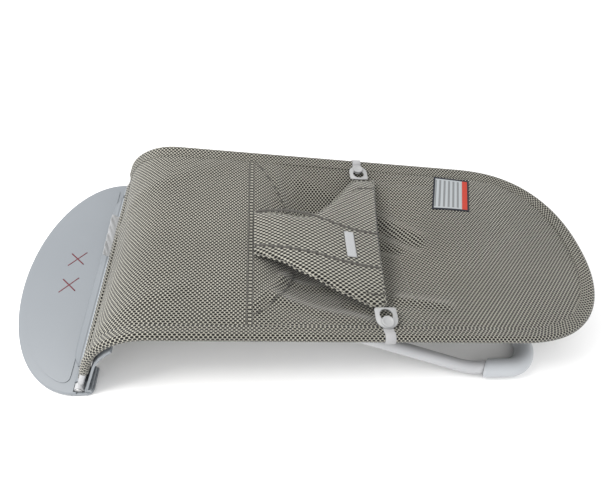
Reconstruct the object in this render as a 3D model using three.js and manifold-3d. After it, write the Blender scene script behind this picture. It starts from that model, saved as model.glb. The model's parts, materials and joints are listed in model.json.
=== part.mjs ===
// A baby bouncer, folded flat for carrying: a half-round foot plate, a bent wire seat frame that hinges
// on the plate, a tubular rear leg that hinges under the seat rails, and a mesh seat with its harness.
// Millimetres. +X runs from the foot plate to the head, +Y is the child's right, +Z is up, z = 0 the floor.
// Pieces that come in pairs are made once, for the +Y side, and mirrored for the other.

import * as THREE from 'three';
import { LoftGeometry } from 'three/addons/geometries/LoftGeometry.js';
import { mergeVertices } from 'three/addons/utils/BufferGeometryUtils.js';
import Module from 'manifold-3d';

const wasm = await Module();
wasm.setup();

// Clearances
const GAP = 0.3;               // between two pieces that touch
const RUN = 0.06;              // radial, round a pin or an axle
const FIT = 0.2;               // radial, round a tube that is pushed into a socket
const ROUND = 16;              // sides of a pin or a bore
const WIRE_SIDES = 10;
const TUBE_SIDES = 14;
const SLEEVE_SIDES = 16;
const SOCKET_SIDES = 28;
const PLATE_SIDES = 24;        // in half the plate's outline
const EDGE_SIDES = 2;
const WELD = 1e-4;             // vertices nearer than this are one

// Facets along the long pieces
const GUARD_STEPS = 9;
const RAIL_STEPS = 30;
const ARCH_STEPS = 32;
const LEG_STEPS = 14;
const ELBOW_STEPS = 18;
const FOOT_STEPS = 13;
const SEAT_STEPS = 10;
const BACK_STEPS = 5;
const HEAD_STEPS = 9;
const HEAD_SHORT = 0.6;        // of a step: how far the last fabric strip stays from the head arch
const LABEL_STEPS = 4;

// Foot plate, measured from its front edge, which is x = 0 here
const PLATE_WIDTH = 390;
const PLATE_DEPTH = 112;       // of the half ellipse
const PLATE_TAIL = 4;          // straight part behind it
const PLATE_THICK = 7.4;
const PLATE_EDGE = 2;          // rounding
const PLATE_WALL = 2.5;
const PAD_THICK = 1.3;
const FRONT_PAD = [14, 28, -45, 45];   // grip pads below the plate: their ends along X and along Y
const SIDE_PAD = [72, 98, 120, 165];
const PANEL_STEP = 1.1;        // height of the raised top panel
const PANEL_MARGIN = 12;
const PANEL_CORNER = 12;
const LIP_WIDTH = 5.5;         // of the raised lip along the plate's rear edge, in front of the fabric
const LIP_TOP = 13;
const COVER_THICK = 2.2;
const LUG_INNER = 158;         // the two corner lugs that carry the hinges
const LUG_LENGTH = 20;
const LUG_CORNER = 9;
const LUG_THICK = 4.5;
const BEARING_START = 4;       // hinge bearing from the lug's inner edge
const SCREW_R = 2;
const SCREW_HEAD_R = 3.3;
const SCREW_HEAD = 1.6;
const SCREW_LENGTH = 8;
const GUARD_SCREWS = [168, 184];

// Seat frame of bent wire
const WIRE_R = 4;
const HEM = 2;                 // thickness of the fabric tunnel round the wire
const AXLE_BACK = 3;           // hinge axis behind the plate's tail
const AXLE_Z = 10;
const AXLE_R = 3;
const EYE_R = 6;
const EYE_WIDTH = 2 * WIRE_R;  // the eye is formed from the wire's own end
const AXLE_CAP = 1;            // head of the hinge pin
const AXLE_CAP_R = 4.5;
const SWEEP = 1.5;             // room round the turning eye
const SHIN_RUN = 41;           // from the hinge to the corner of the knee, along X and Z
const SHIN_RISE = 108.6;
const KNEE_RADIUS = 80;
const KNEE_Y = 170;            // wire centre at the knee
const FOOT_Y = 187;            // and at the hinge
const CROSSBAR_CLEAR = 0.75;   // foot crossbar to the hinge's bearing
const SEAT_LENGTH = 533;       // knee corner to the start of the head arch
const SEAT_SLOPE = 0.06;       // fall per length towards the head
const HEAD_Y = 166.4;          // wire centre where the head arch starts
const HEAD_LENGTH = 175;
const HEAD_POWER_X = 2 / 2.61; // powers of the head arch's rounded outline
const HEAD_POWER_Y = 2 / 2.21;

// Shin guards, the curved walls behind the wires
const GUARD_CLEAR = 3.5;       // from the wire's surface
const GUARD_WALL = 3;
const GUARD_LENGTH = 104;      // along the wire
const GUARD_WIDTH = 30;
const GUARD_FOOT = 8;
const GUARD_INSET = 1;         // of its foot from the lug's edges
const GUARD_FOOT_RISE = 6;

// Rear leg
const TUBE_R = 9;
const TUBE_WALL = 1.2;
const LEG_BACK = 633;          // rear foot behind the hinge axis, flat
const LEG_PIVOT_Z = 80;
const LEG_PIVOT_Y = 138;       // middle of the leg head
const LEG_Y = 174.5;           // tube where it enters the corner sleeve
const LEG_BEND_RADIUS = 120;
const SLEEVE_R = 13.5;
const SLEEVE_BEND = 36;
const SLEEVE_ALONG = 71;       // from its mouth to the cross tube's axis
const SLEEVE_ACROSS = 62;      // from the leg tube's axis to its inner mouth
const SLEEVE_LEAD = 14;        // the leg tube's bend before the mouth
const SLEEVE_LEAN = 23;        // degrees: the mouth's top leads its bottom
const SLEEVE_TURN = 31;        // and its outer side leads its inner side
const TUBE_LIFT = 2.8;         // tube axis above the sleeve's
const SOCKET = 24;             // how far a tube is pushed into a sleeve
const SOLE = 2;

// Leg hinge and latch under each rail
const HEAD_EYE_R = 9;
const HEAD_EYE_WIDTH = 13.6;
const SPIGOT_LENGTH = 34;
const TUBE_START = 12.5;       // the tube's upper end, from the pivot along the leg
const EAR_R = 10;
const EAR_THICK = 4;
const EAR_LENGTH = 24;
const EAR_NECK = 2;            // narrower than the ear at each side
const EAR_ROOM = 1;            // round the ear's rim
const MOUNT_THICK = 3;
const MOUNT_TOP = 1.2;         // the bracket's welded edge, under and beside the wire
const PIN_HEAD = 1.5;
const PIN_HEAD_R = 5;
const RECLINES = [0, 23, 32, 41];   // degrees: flat, low, middle, high
const LEG_RATIO = -2;          // leg angle to seat, per recline angle
const NOTCH_DEPTH = 2.6;
const TOOTH_WIDTH = 4;
const TOOTH_THICK = 3;
const TOOTH_CLEAR = 0.4;       // from the ear's rim while the catch rides on it
const GRIP_START = 16.5;       // from the pivot along the leg
const GRIP_LENGTH = 24;
const GRIP_R = 11.8;
const GRIP_FLANGE = 4;
const GRIP_FLANGE_R = 13.3;

// Fabric seat
const FABRIC = 3;
const FOOT_EDGE = WIRE_R + 1.5;  // from the foot crossbar's axis up to the fabric's lower edge
const SEAM_X = 340;            // crotch seam, from the plate's front edge
const EASE = 0.6;              // fabric edge to wire
const BASE_SAG = 8;
const POCKET_DEPTH = 46;
const POCKET_X = 440;          // deepest place
const POCKET_END = 700;
const BACK_LENGTH = 118;       // from the seam between pocket and back panel to the head arch's start
const SAG_POWER = 1.5;
const ACROSS = 10;             // facets across a panel

// Harness
const HARNESS_THICK = 5;
const HARNESS_OUTLINE = [        // x and half width
  [343, 45], [385, 45], [415, 50], [445, 63], [471, 84], [492, 106], [506, 121], [531, 125],
];
const HARNESS_RISE = 9;        // middle of the harness above the rails
const HARNESS_DROP = 4;        // fall from its middle to its tips
const CLIP_X = 519;
const CLIP_Y = [125.5, 157];
const CLIP_HALF = 15;
const CLIP_THICK = 2.6;
const CLIP_CORNER = 6;
const KEYHOLE_CLEAR = 0.5;     // round the button's head and neck
const BUTTON_Y = 148;
const BUTTON_TRAVEL = 11;
const BUTTON_HEAD_R = 8.5;
const BUTTON_HEAD = 2.4;
const BUTTON_CHAMFER = 1;
const BUTTON_NECK_R = 3.8;
const BUTTON_BASE_R = 6.8;
const BUTTON_BASE = 1.6;
const STRAP_WIDTH = 14;
const STRAP_THICK = 1.5;
const STRAP_RISE = 150;        // degrees round the rail where the strap meets its tunnel
const STRAP_WRAP = -20;        // and where it ends, on the outer side
const LABEL = 0.9;             // thickness of sewn labels
const BACK_LABEL = [-45, 22, 76, 150];     // ends along X, from the head arch's start, and along Y
const HARNESS_TAG = [476, 490, -48, -2];
const CARE_TAG = [12, 20, 105, 28];   // width, its two ends along Y, and its tilt in degrees

// Places worked out from the sizes above
const rad = THREE.MathUtils.degToRad;
const V = (x, y, z) => new THREE.Vector3(x, y, z);
const PLATE_BOTTOM = PAD_THICK + GAP;
const PLATE_TOP = PLATE_BOTTOM + PLATE_THICK;
const PLATE_REAR = PLATE_DEPTH + PLATE_TAIL;
const LUG_REAR = PLATE_REAR + LUG_LENGTH;
const LUG_TOP = PLATE_BOTTOM + LUG_THICK;
const BEARING_R = EYE_R + PLATE_WALL / 2;
const AXLE = V(PLATE_REAR + AXLE_BACK, FOOT_Y, AXLE_Z);
const CROSSBAR_UP = BEARING_R + WIRE_R + CROSSBAR_CLEAR;   // up the shin from the hinge
const KNEE = V(AXLE.x + SHIN_RUN, KNEE_Y, AXLE.z + SHIN_RISE);
const HEAD_START = KNEE.x + SEAT_LENGTH;
const BACK_X = HEAD_START - BACK_LENGTH;
const HEAD_END = HEAD_START + GAP / 2 + HEAD_LENGTH;
const OVERALL = HEAD_END + WIRE_R;
const railZ = (x) => KNEE.z - SEAT_SLOPE * (x - KNEE.x);
const railY = (x) => THREE.MathUtils.lerp(KNEE_Y, HEAD_Y, (x - KNEE.x) / SEAT_LENGTH);
const FOOT = V(AXLE.x + LEG_BACK, LEG_Y, SLEEVE_R);
// The leg pivot is as far from the hinge as from the rear foot,
// so the foot stays on the floor when the leg turns twice as far as the seat.
const PIVOT = V(
  (AXLE.x + FOOT.x) / 2 + ((LEG_PIVOT_Z - (AXLE.z + FOOT.z) / 2) * (AXLE.z - FOOT.z)) / (FOOT.x - AXLE.x),
  LEG_PIVOT_Y,
  LEG_PIVOT_Z,
);
const TUBE_Z = FOOT.z + TUBE_LIFT;
const SLEEVE_MOUTH = FOOT.x - SLEEVE_ALONG;
const LEG_BEND = V(SLEEVE_MOUTH - SLEEVE_R - SLEEVE_LEAD, LEG_Y, TUBE_Z);
const LEG_DIRECTION = new THREE.Vector3().subVectors(LEG_BEND, PIVOT).normalize();
const EAR_Y = PIVOT.y + HEAD_EYE_WIDTH / 2 + GAP + EAR_THICK / 2;

const bearingInner = LUG_INNER + BEARING_START;
const bearingOuter = FOOT_Y - EYE_WIDTH / 2 - SWEEP;

// Finishes
const plastic = { color: 0xb4bcc6, roughness: 0.45, metalness: 0 };
const painted = { color: 0xb2b2b5, roughness: 0.4, metalness: 0.2 };
const steel = { color: 0xb8bcc2, roughness: 0.3, metalness: 1 };
const nylon = { color: 0xe4e6e6, roughness: 0.5, metalness: 0 };
const rubber = { color: 0x5c6064, roughness: 0.9, metalness: 0 };
const mesh = { color: 0x827f77, roughness: 0.95, metalness: 0 };
const harnessMesh = { color: 0x928e87, roughness: 0.95, metalness: 0 };
const webbing = { color: 0xc8c8cd, roughness: 0.8, metalness: 0 };
const label = { color: 0xe1e6ea, roughness: 0.8, metalness: 0 };

// Solids and booleans

function solid(shape) {
  if (shape instanceof wasm.Manifold) return shape;
  const bare = new THREE.BufferGeometry().copy(shape);
  bare.deleteAttribute('normal');
  bare.deleteAttribute('uv');
  const merged = mergeVertices(bare, WELD);
  const triangles = [];
  for (let i = 0; i < merged.index.count; i += 3) {
    const [a, b, c] = merged.index.array.slice(i, i + 3);
    if (a !== b && b !== c && c !== a) triangles.push(a, b, c);
  }
  return new wasm.Manifold(new wasm.Mesh({
    numProp: 3,
    vertProperties: new Float32Array(merged.attributes.position.array),
    triVerts: new Uint32Array(triangles),
  }));
}

function geometryOf(shape) {
  if (!(shape instanceof wasm.Manifold)) return shape;
  const made = shape.getMesh();
  const geometry = new THREE.BufferGeometry();
  geometry.setAttribute('position', new THREE.BufferAttribute(new Float32Array(made.vertProperties), 3));
  geometry.setIndex(new THREE.BufferAttribute(new Uint32Array(made.triVerts), 1));
  return geometry;
}

const joined = (...parts) => parts.map(solid).reduce((a, b) => a.add(b));
const cut = (body, ...tools) => tools.map(solid).reduce((a, b) => a.subtract(b), solid(body));
const common = (a, b) => solid(a).intersect(solid(b));

// A faceted bore that lets a shaft of this radius turn in it.
const bore = (radius, clearance = RUN, sides = ROUND) => (radius + clearance) / Math.cos(Math.PI / sides);

function block(low, high) {
  const size = new THREE.Vector3().subVectors(high, low);
  const middle = new THREE.Vector3().addVectors(low, high).multiplyScalar(0.5);
  return new THREE.BoxGeometry(size.x, size.y, size.z).translate(middle.x, middle.y, middle.z);
}

function rod(from, to, radius, sides = ROUND) {
  const axis = new THREE.Vector3().subVectors(to, from);
  const middle = new THREE.Vector3().addVectors(from, to).multiplyScalar(0.5);
  const turn = new THREE.Quaternion().setFromUnitVectors(V(0, 1, 0), axis.clone().normalize());
  const geometry = new THREE.CylinderGeometry(radius, radius, axis.length(), sides);
  return geometry.applyQuaternion(turn).translate(middle.x, middle.y, middle.z);
}

// A rod along Y through (x, z).
const crossRod = (at, y0, y1, radius) => rod(V(at.x, y0, at.z), V(at.x, y1, at.z), radius);

// A flat shape drawn in X and Z, made into a solid from y0 to y1.
function slabXZ(shape, y0, y1) {
  const geometry = new THREE.ExtrudeGeometry(shape, { depth: y1 - y0, bevelEnabled: false });
  return geometry.rotateX(Math.PI / 2).translate(0, y1, 0);
}

// A flat shape drawn in Y and Z, made into a solid from x0 to x1.
function slabYZ(shape, x0, x1) {
  const geometry = new THREE.ExtrudeGeometry(shape, { depth: x1 - x0, bevelEnabled: false });
  return geometry.rotateX(Math.PI / 2).rotateZ(Math.PI / 2).translate(x0, 0, 0);
}

const polygon = (points) => new THREE.Shape(points.map(([a, b]) => new THREE.Vector2(a, b)));

// Bent wires and tubes

class Bend extends THREE.Curve {
  constructor(centre, start, axis, angle) {
    super();
    Object.assign(this, { centre, arm: start.clone().sub(centre), axis, angle });
  }

  getPoint(t, target = new THREE.Vector3()) {
    return target.copy(this.arm).applyAxisAngle(this.axis, this.angle * t).add(this.centre);
  }
}

// Straight runs between corners, each inner corner bent to its radius.
function bentPath(corners, radii) {
  const path = new THREE.CurvePath();
  let from = corners[0];
  radii.forEach((radius, i) => {
    const corner = corners[i + 1];
    const into = new THREE.Vector3().subVectors(corner, corners[i]).normalize();
    const out = new THREE.Vector3().subVectors(corners[i + 2], corner).normalize();
    const angle = into.angleTo(out);
    const reach = radius * Math.tan(angle / 2);
    const start = corner.clone().addScaledVector(into, -reach);
    const axis = new THREE.Vector3().crossVectors(into, out).normalize();
    const centre = start.clone().addScaledVector(axis.clone().cross(into), radius);
    path.add(new THREE.LineCurve3(from, start));
    path.add(new Bend(centre, start, axis, angle));
    from = corner.clone().addScaledVector(out, reach);
  });
  path.add(new THREE.LineCurve3(from, corners.at(-1)));
  return path;
}

function bar(path, radius, steps, sides, inner = 0) {
  const section = new THREE.Shape().absarc(0, 0, radius, 0, 2 * Math.PI);
  if (inner) section.holes.push(new THREE.Path().absarc(0, 0, inner, 0, 2 * Math.PI, true));
  const options = { steps, curveSegments: sides / 2, extrudePath: path, bevelEnabled: false };
  return new THREE.ExtrudeGeometry(section, options);
}

class HeadArch extends THREE.Curve {
  getPoint(t, target = new THREE.Vector3()) {
    const turn = Math.PI * (t - 0.5);
    const across = Math.sign(t - 0.5) * Math.abs(Math.sin(turn)) ** HEAD_POWER_Y;
    const x = HEAD_START + GAP / 2 + HEAD_LENGTH * Math.max(Math.cos(turn), 0) ** HEAD_POWER_X;
    return target.set(x, HEAD_Y * across, railZ(x));
  }
}

const shinUp = new THREE.Vector3().subVectors(KNEE, AXLE).normalize();
const railStart = AXLE.clone().addScaledVector(shinUp, EYE_R - GAP);
const railEnd = V(HEAD_START - GAP / 2, HEAD_Y, railZ(HEAD_START - GAP / 2));
const rail = bentPath([railStart, KNEE, railEnd], [KNEE_RADIUS]);
const RAIL_LENGTH = rail.getLength();

// Foot plate

// The plate's outline, set in from its edge and cut off straight at its rear, with rounded or sharp corners.
function plateOutline(inset, rear, corner) {
  const depth = PLATE_DEPTH - inset;
  const half = PLATE_WIDTH / 2 - inset;
  const angleAt = (x) => Math.acos(Math.min(x - PLATE_DEPTH, 0) / depth);
  const edge = half * Math.sin(angleAt(rear));
  const turn = angleAt(rear - corner);
  const shape = new THREE.Shape();
  shape.moveTo(rear, corner - edge);
  shape.lineTo(rear, edge - corner);
  if (corner) shape.quadraticCurveTo(rear, edge, PLATE_DEPTH + depth * Math.cos(turn), half * Math.sin(turn));
  shape.absellipse(PLATE_DEPTH, 0, depth, half, turn, 2 * Math.PI - turn);
  if (corner) shape.quadraticCurveTo(rear, -edge, rear, corner - edge);
  else shape.lineTo(rear, -edge);
  return shape;
}

function plateLayer(shape, bottom, top, edge = 0) {
  const options = { depth: top - bottom - 2 * edge, curveSegments: PLATE_SIDES, bevelEnabled: edge > 0 };
  const bevel = { bevelThickness: edge, bevelSize: edge, bevelOffset: -edge, bevelSegments: EDGE_SIDES };
  return new THREE.ExtrudeGeometry(shape, { ...options, ...bevel }).translate(0, 0, bottom + edge);
}

// A corner lug with the raised bearing for the hinge pin.
function hingeLug() {
  const half = PLATE_WIDTH / 2;
  const shape = new THREE.Shape();
  shape.moveTo(PLATE_DEPTH - PLATE_TAIL, LUG_INNER);
  shape.lineTo(LUG_REAR, LUG_INNER);
  shape.absarc(LUG_REAR - LUG_CORNER, half - LUG_CORNER, LUG_CORNER, 0, Math.PI / 2);
  shape.lineTo(PLATE_DEPTH - PLATE_TAIL, half);
  const bearing = crossRod(AXLE, bearingInner, bearingOuter, BEARING_R);
  const webLow = V(AXLE.x - BEARING_R, bearingInner, PLATE_BOTTOM);
  const web = block(webLow, V(AXLE.x + BEARING_R, bearingOuter, AXLE.z));
  return joined(plateLayer(shape, PLATE_BOTTOM, LUG_TOP), bearing, web);
}

// Everything that is cut away round one hinge: room for the eye, the pin's bore and the screw holes.
function hingeRoom() {
  const reach = EYE_R + SWEEP;
  const outer = FOOT_Y + EYE_WIDTH / 2 + SWEEP;
  const low = V(AXLE.x - reach, bearingOuter, LUG_TOP - PLATE_WALL);
  return joined(
    block(low, V(AXLE.x + reach, outer, PLATE_TOP + PANEL_STEP)),
    crossRod(AXLE, bearingOuter - RUN, outer, EYE_R + GAP),
    crossRod(AXLE, bearingInner - GAP, bearingOuter + GAP, bore(AXLE_R)),
    ...GUARD_SCREWS.flatMap((y) => screwHoles(y)),
  );
}

const screwX = LUG_REAR - GUARD_INSET - GUARD_FOOT / 2;

function screwHoles(y) {
  return [
    rod(V(screwX, y, 0), V(screwX, y, PLATE_TOP), bore(SCREW_R, FIT)),
    rod(V(screwX, y, 0), V(screwX, y, PLATE_BOTTOM + SCREW_HEAD + FIT), bore(SCREW_HEAD_R, FIT)),
  ];
}

function basePlate() {
  const shell = plateLayer(plateOutline(0, PLATE_REAR, 0), PLATE_BOTTOM, PLATE_TOP, PLATE_EDGE);
  const panel = plateOutline(PANEL_MARGIN, PLATE_REAR - PANEL_MARGIN, PANEL_CORNER);
  const raised = plateLayer(panel, PLATE_TOP - PANEL_STEP, PLATE_TOP + PANEL_STEP);
  const hollow = plateOutline(PLATE_WALL, PLATE_DEPTH - 2 * PLATE_WALL, 0);
  const cavity = plateLayer(hollow, 0, PLATE_TOP - PLATE_WALL);
  const lug = hingeLug();
  const room = hingeRoom();
  const lipLow = V(PLATE_REAR - LIP_WIDTH, -LUG_INNER, PLATE_TOP - PLATE_EDGE);
  const lip = block(lipLow, V(PLATE_REAR, LUG_INNER, LIP_TOP));
  const body = joined(shell, raised, lip, lug, lug.mirror([0, 1, 0]));
  return cut(body, cavity, room, room.mirror([0, 1, 0]));
}

function baseCover() {
  const outline = plateOutline(PLATE_WALL + GAP, PLATE_DEPTH - 2 * PLATE_WALL - GAP, 0);
  return plateLayer(outline, PLATE_BOTTOM, PLATE_BOTTOM + COVER_THICK);
}

const gripPad = ([x0, x1, y0, y1]) => block(V(x0, y0, 0), V(x1, y1, PAD_THICK));

function guardScrew(y) {
  const low = PLATE_BOTTOM + FIT;
  const head = rod(V(screwX, y, low), V(screwX, y, low + SCREW_HEAD - FIT), SCREW_HEAD_R);
  const shank = rod(V(screwX, y, low), V(screwX, y, low + SCREW_LENGTH), SCREW_R);
  return joined(head, shank);
}

// The wall follows the wire's own curve, behind it, and narrows with it towards the knee.
function shinGuard() {
  const inner = [];
  const outer = [];
  for (let i = 0; i <= GUARD_STEPS; i++) {
    const u = (GUARD_LENGTH * i) / GUARD_STEPS / RAIL_LENGTH;
    const at = rail.getPointAt(u);
    const along = rail.getTangentAt(u);
    const behind = new THREE.Vector2(along.z, -along.x).normalize();
    const near = WIRE_R + GUARD_CLEAR;
    inner.push([at.x + behind.x * near, at.z + behind.y * near]);
    outer.push([at.x + behind.x * (near + GUARD_WALL), at.z + behind.y * (near + GUARD_WALL)]);
  }
  const half = PLATE_WIDTH / 2;
  const wall = slabXZ(polygon([...inner, ...outer.reverse()]), KNEE_Y - GUARD_WIDTH, half);
  const top = rail.getPointAt(GUARD_LENGTH / RAIL_LENGTH);
  const edge = WIRE_R + HEM;
  const outline = polygon([
    [LUG_INNER, LUG_TOP], [FOOT_Y + edge, LUG_TOP], [top.y + edge, top.z + edge],
    [top.y - edge, top.z + edge], [LUG_INNER, AXLE.z + SHIN_RISE / 2],
  ]);
  const trimmed = common(wall, slabYZ(outline, PLATE_REAR, LUG_REAR + SHIN_RUN * 2));
  const footLow = V(LUG_REAR - GUARD_INSET - GUARD_FOOT, LUG_INNER + GUARD_INSET, LUG_TOP + GAP);
  const footHigh = V(LUG_REAR - GUARD_INSET, FOOT_Y + edge, LUG_TOP + GAP + GUARD_FOOT_RISE);
  const below = block(V(0, 0, 0), V(LUG_REAR * 2, PLATE_WIDTH, LUG_TOP + GAP));
  const hole = (y) => rod(V(screwX, y, 0), V(screwX, y, LUG_TOP + SCREW_LENGTH), bore(SCREW_R, FIT));
  return cut(joined(trimmed, block(footLow, footHigh)), below, ...GUARD_SCREWS.map(hole));
}

function hingePin() {
  const outer = FOOT_Y + EYE_WIDTH / 2 + GAP;
  const shank = crossRod(AXLE, bearingInner, outer + AXLE_CAP / 2, AXLE_R);
  return joined(shank, crossRod(AXLE, outer, outer + AXLE_CAP, AXLE_CAP_R));
}

function hingeEye() {
  const ring = crossRod(AXLE, FOOT_Y - EYE_WIDTH / 2, FOOT_Y + EYE_WIDTH / 2, EYE_R);
  return cut(ring, crossRod(AXLE, FOOT_Y - EYE_WIDTH, FOOT_Y + EYE_WIDTH, bore(AXLE_R)));
}

// Seat frame

// The wire's lower end is saddled to fit round the hinge eye.
function sideRail() {
  const wire = bar(rail, WIRE_R, RAIL_STEPS, WIRE_SIDES);
  return cut(wire, crossRod(AXLE, FOOT_Y - EYE_WIDTH, FOOT_Y + EYE_WIDTH, EYE_R + GAP));
}

const headRail = () => bar(new HeadArch(), WIRE_R, ARCH_STEPS, WIRE_SIDES);

function footCrossbar() {
  const at = AXLE.clone().addScaledVector(shinUp, CROSSBAR_UP);
  const reach = at.y - WIRE_R - 3 * GAP;
  return crossRod(at, -reach, reach, WIRE_R);
}

// The steel bracket welded under the rail: a strap down from the wire to a notched ear round the pivot.
function legMount() {
  const wire = V(PIVOT.x, railY(PIVOT.x), railZ(PIVOT.x));
  const away = WIRE_R + GAP;
  const inner = EAR_Y - EAR_THICK / 2;
  const outer = EAR_Y + EAR_THICK / 2;
  const strap = slabYZ(polygon([
    [inner, PIVOT.z], [outer, PIVOT.z], [outer, PIVOT.z + EAR_R - MOUNT_THICK],
    [wire.y - MOUNT_TOP, wire.z - away - MOUNT_TOP], [wire.y - away, wire.z - away + MOUNT_TOP],
    [inner, PIVOT.z + EAR_R],
  ]), PIVOT.x - EAR_LENGTH / 2, PIVOT.x + EAR_LENGTH / 2);
  const ear = crossRod(PIVOT, inner, outer, EAR_R);
  const clear = block(V(0, 0, 0), V(OVERALL, PLATE_WIDTH, PIVOT.z + EAR_R / 2));
  const legAngle = Math.atan2(LEG_DIRECTION.z, LEG_DIRECTION.x);
  const notches = RECLINES.map((recline) => notch(legAngle + LEG_RATIO * rad(recline)));
  const hole = crossRod(PIVOT, inner - GAP, outer + GAP, bore(AXLE_R));
  return cut(joined(cut(strap, clear), ear, earNeck(inner, outer)), hole, ...notches);
}

// Joins the round ear to the strap above it.
const earNeck = (inner, outer) => block(
  V(PIVOT.x - EAR_R + EAR_NECK, inner, PIVOT.z),
  V(PIVOT.x + EAR_R - EAR_NECK, outer, PIVOT.z + EAR_R),
);

function notch(angle) {
  const half = TOOTH_WIDTH / 2 + GAP;
  const box = new THREE.BoxGeometry(2 * NOTCH_DEPTH, 2 * EAR_THICK, 2 * half).translate(EAR_R, 0, 0);
  return box.rotateY(-angle).translate(PIVOT.x, EAR_Y, PIVOT.z);
}

function pivotPin() {
  const inner = PIVOT.y - HEAD_EYE_WIDTH / 2 - GAP;
  const outer = EAR_Y + EAR_THICK / 2 + GAP;
  return joined(
    crossRod(PIVOT, inner - PIN_HEAD / 2, outer + PIN_HEAD / 2, AXLE_R),
    crossRod(PIVOT, inner - PIN_HEAD, inner, PIN_HEAD_R),
    crossRod(PIVOT, outer, outer + PIN_HEAD, PIN_HEAD_R),
  );
}

// Rear leg

const alongLeg = (s) => PIVOT.clone().addScaledVector(LEG_DIRECTION, s);

function legHead() {
  const half = HEAD_EYE_WIDTH / 2;
  const eye = crossRod(PIVOT, PIVOT.y - half, PIVOT.y + half, HEAD_EYE_R);
  const spigot = rod(alongLeg(HEAD_EYE_R / 2), alongLeg(SPIGOT_LENGTH), TUBE_R - TUBE_WALL - FIT, TUBE_SIDES);
  const room = crossRod(PIVOT, PIVOT.y - 2 * half, PIVOT.y - half, EAR_R + EAR_ROOM);
  const roomOutside = crossRod(PIVOT, PIVOT.y + half, PIVOT.y + 2 * half, EAR_R + EAR_ROOM);
  const hole = crossRod(PIVOT, PIVOT.y - 2 * half, PIVOT.y + 2 * half, bore(AXLE_R));
  return cut(joined(eye, spigot), room, roomOutside, hole);
}

function legTube() {
  const start = alongLeg(TUBE_START);
  const end = V(SLEEVE_MOUTH + SOCKET, LEG_Y, TUBE_Z);
  const path = bentPath([start, LEG_BEND, end], [LEG_BEND_RADIUS]);
  return bar(path, TUBE_R, LEG_STEPS, TUBE_SIDES, TUBE_R - TUBE_WALL);
}

const rearTubeEnd = LEG_Y - SLEEVE_ACROSS + SOCKET;

function rearTube() {
  const path = new THREE.LineCurve3(V(FOOT.x, -rearTubeEnd, TUBE_Z), V(FOOT.x, rearTubeEnd, TUBE_Z));
  return bar(path, TUBE_R, 1, TUBE_SIDES, TUBE_R - TUBE_WALL);
}

function elbow() {
  const corners = [V(SLEEVE_MOUTH - SLEEVE_R, LEG_Y, FOOT.z), FOOT, V(FOOT.x, LEG_Y - SLEEVE_ACROSS, FOOT.z)];
  return bar(bentPath(corners, [SLEEVE_BEND]), SLEEVE_R, ELBOW_STEPS, SLEEVE_SIDES);
}

const belowSole = (z) => block(V(0, 0, -SOLE), V(OVERALL, PLATE_WIDTH, z));

function slantedMouth() {
  const size = 4 * SLEEVE_R;
  const box = new THREE.BoxGeometry(size, size, size).translate(-size / 2, 0, 0);
  const facing = V(1, Math.tan(rad(SLEEVE_TURN)), Math.tan(rad(SLEEVE_LEAN))).normalize();
  const turn = new THREE.Quaternion().setFromUnitVectors(V(1, 0, 0), facing);
  return box.applyQuaternion(turn).translate(SLEEVE_MOUTH, LEG_Y, FOOT.z);
}

function cornerSleeve() {
  const socketR = bore(TUBE_R, FIT, TUBE_SIDES);
  const legEnd = SLEEVE_MOUTH + SOCKET + GAP;
  const legStart = SLEEVE_MOUTH - SOCKET;
  const legSocket = rod(V(legStart, LEG_Y, TUBE_Z), V(legEnd, LEG_Y, TUBE_Z), socketR, SOCKET_SIDES);
  const mouth = V(FOOT.x, LEG_Y - SLEEVE_ACROSS - GAP, TUBE_Z);
  const crossSocket = rod(mouth, V(FOOT.x, rearTubeEnd + GAP, TUBE_Z), socketR, SOCKET_SIDES);
  return cut(elbow(), slantedMouth(), legSocket, crossSocket, belowSole(SOLE + GAP));
}

const sleeveSole = () => cut(common(elbow(), belowSole(SOLE)), slantedMouth());

// A sliding collar on the leg tube; its tooth drops into the ear's notches.
function latchGrip() {
  const collar = rod(alongLeg(GRIP_START), alongLeg(GRIP_START + GRIP_LENGTH), GRIP_R);
  const end = GRIP_START + GRIP_LENGTH;
  const flange = rod(alongLeg(end - GRIP_FLANGE), alongLeg(end), GRIP_FLANGE_R);
  const hole = rod(alongLeg(0), alongLeg(GRIP_START + 2 * GRIP_LENGTH), bore(TUBE_R, FIT));
  const tip = EAR_R + TOOTH_CLEAR;
  const reach = GRIP_START + GRIP_LENGTH / 2 - tip;
  const angle = Math.atan2(LEG_DIRECTION.z, LEG_DIRECTION.x);
  const tooth = new THREE.BoxGeometry(reach, TOOTH_THICK, TOOTH_WIDTH).translate(tip + reach / 2, 0, 0);
  tooth.rotateY(-angle).translate(PIVOT.x, EAR_Y, PIVOT.z);
  return cut(joined(collar, flange, tooth), hole);
}

// Fabric

// How far the fabric's middle hangs below the rails.
function sag(x) {
  const ease = (t) => Math.sin((Math.PI / 2) * THREE.MathUtils.clamp(t, 0, 1)) ** 2;
  const pocket = x < POCKET_X
    ? ease((x - SEAM_X) / (POCKET_X - SEAM_X))
    : ease((POCKET_END - x) / (POCKET_END - POCKET_X));
  return BASE_SAG + POCKET_DEPTH * pocket;
}

// One cross-section of a sheet of fabric that hangs between two rails.
function strip(at, up, half, thick = FABRIC) {
  const depth = sag(at.x) * Math.min(1, half / HEAD_Y);
  const row = (side) => {
    const points = [];
    for (let i = 0; i <= ACROSS; i++) {
      const t = (2 * i) / ACROSS - 1;
      const drop = (side * thick) / 2 - depth * (1 - t * t) ** SAG_POWER;
      points.push(V(at.x + up.x * drop, t * half, at.z + up.y * drop));
    }
    return points;
  };
  return [...row(-1), ...row(1).reverse()];
}

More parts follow.
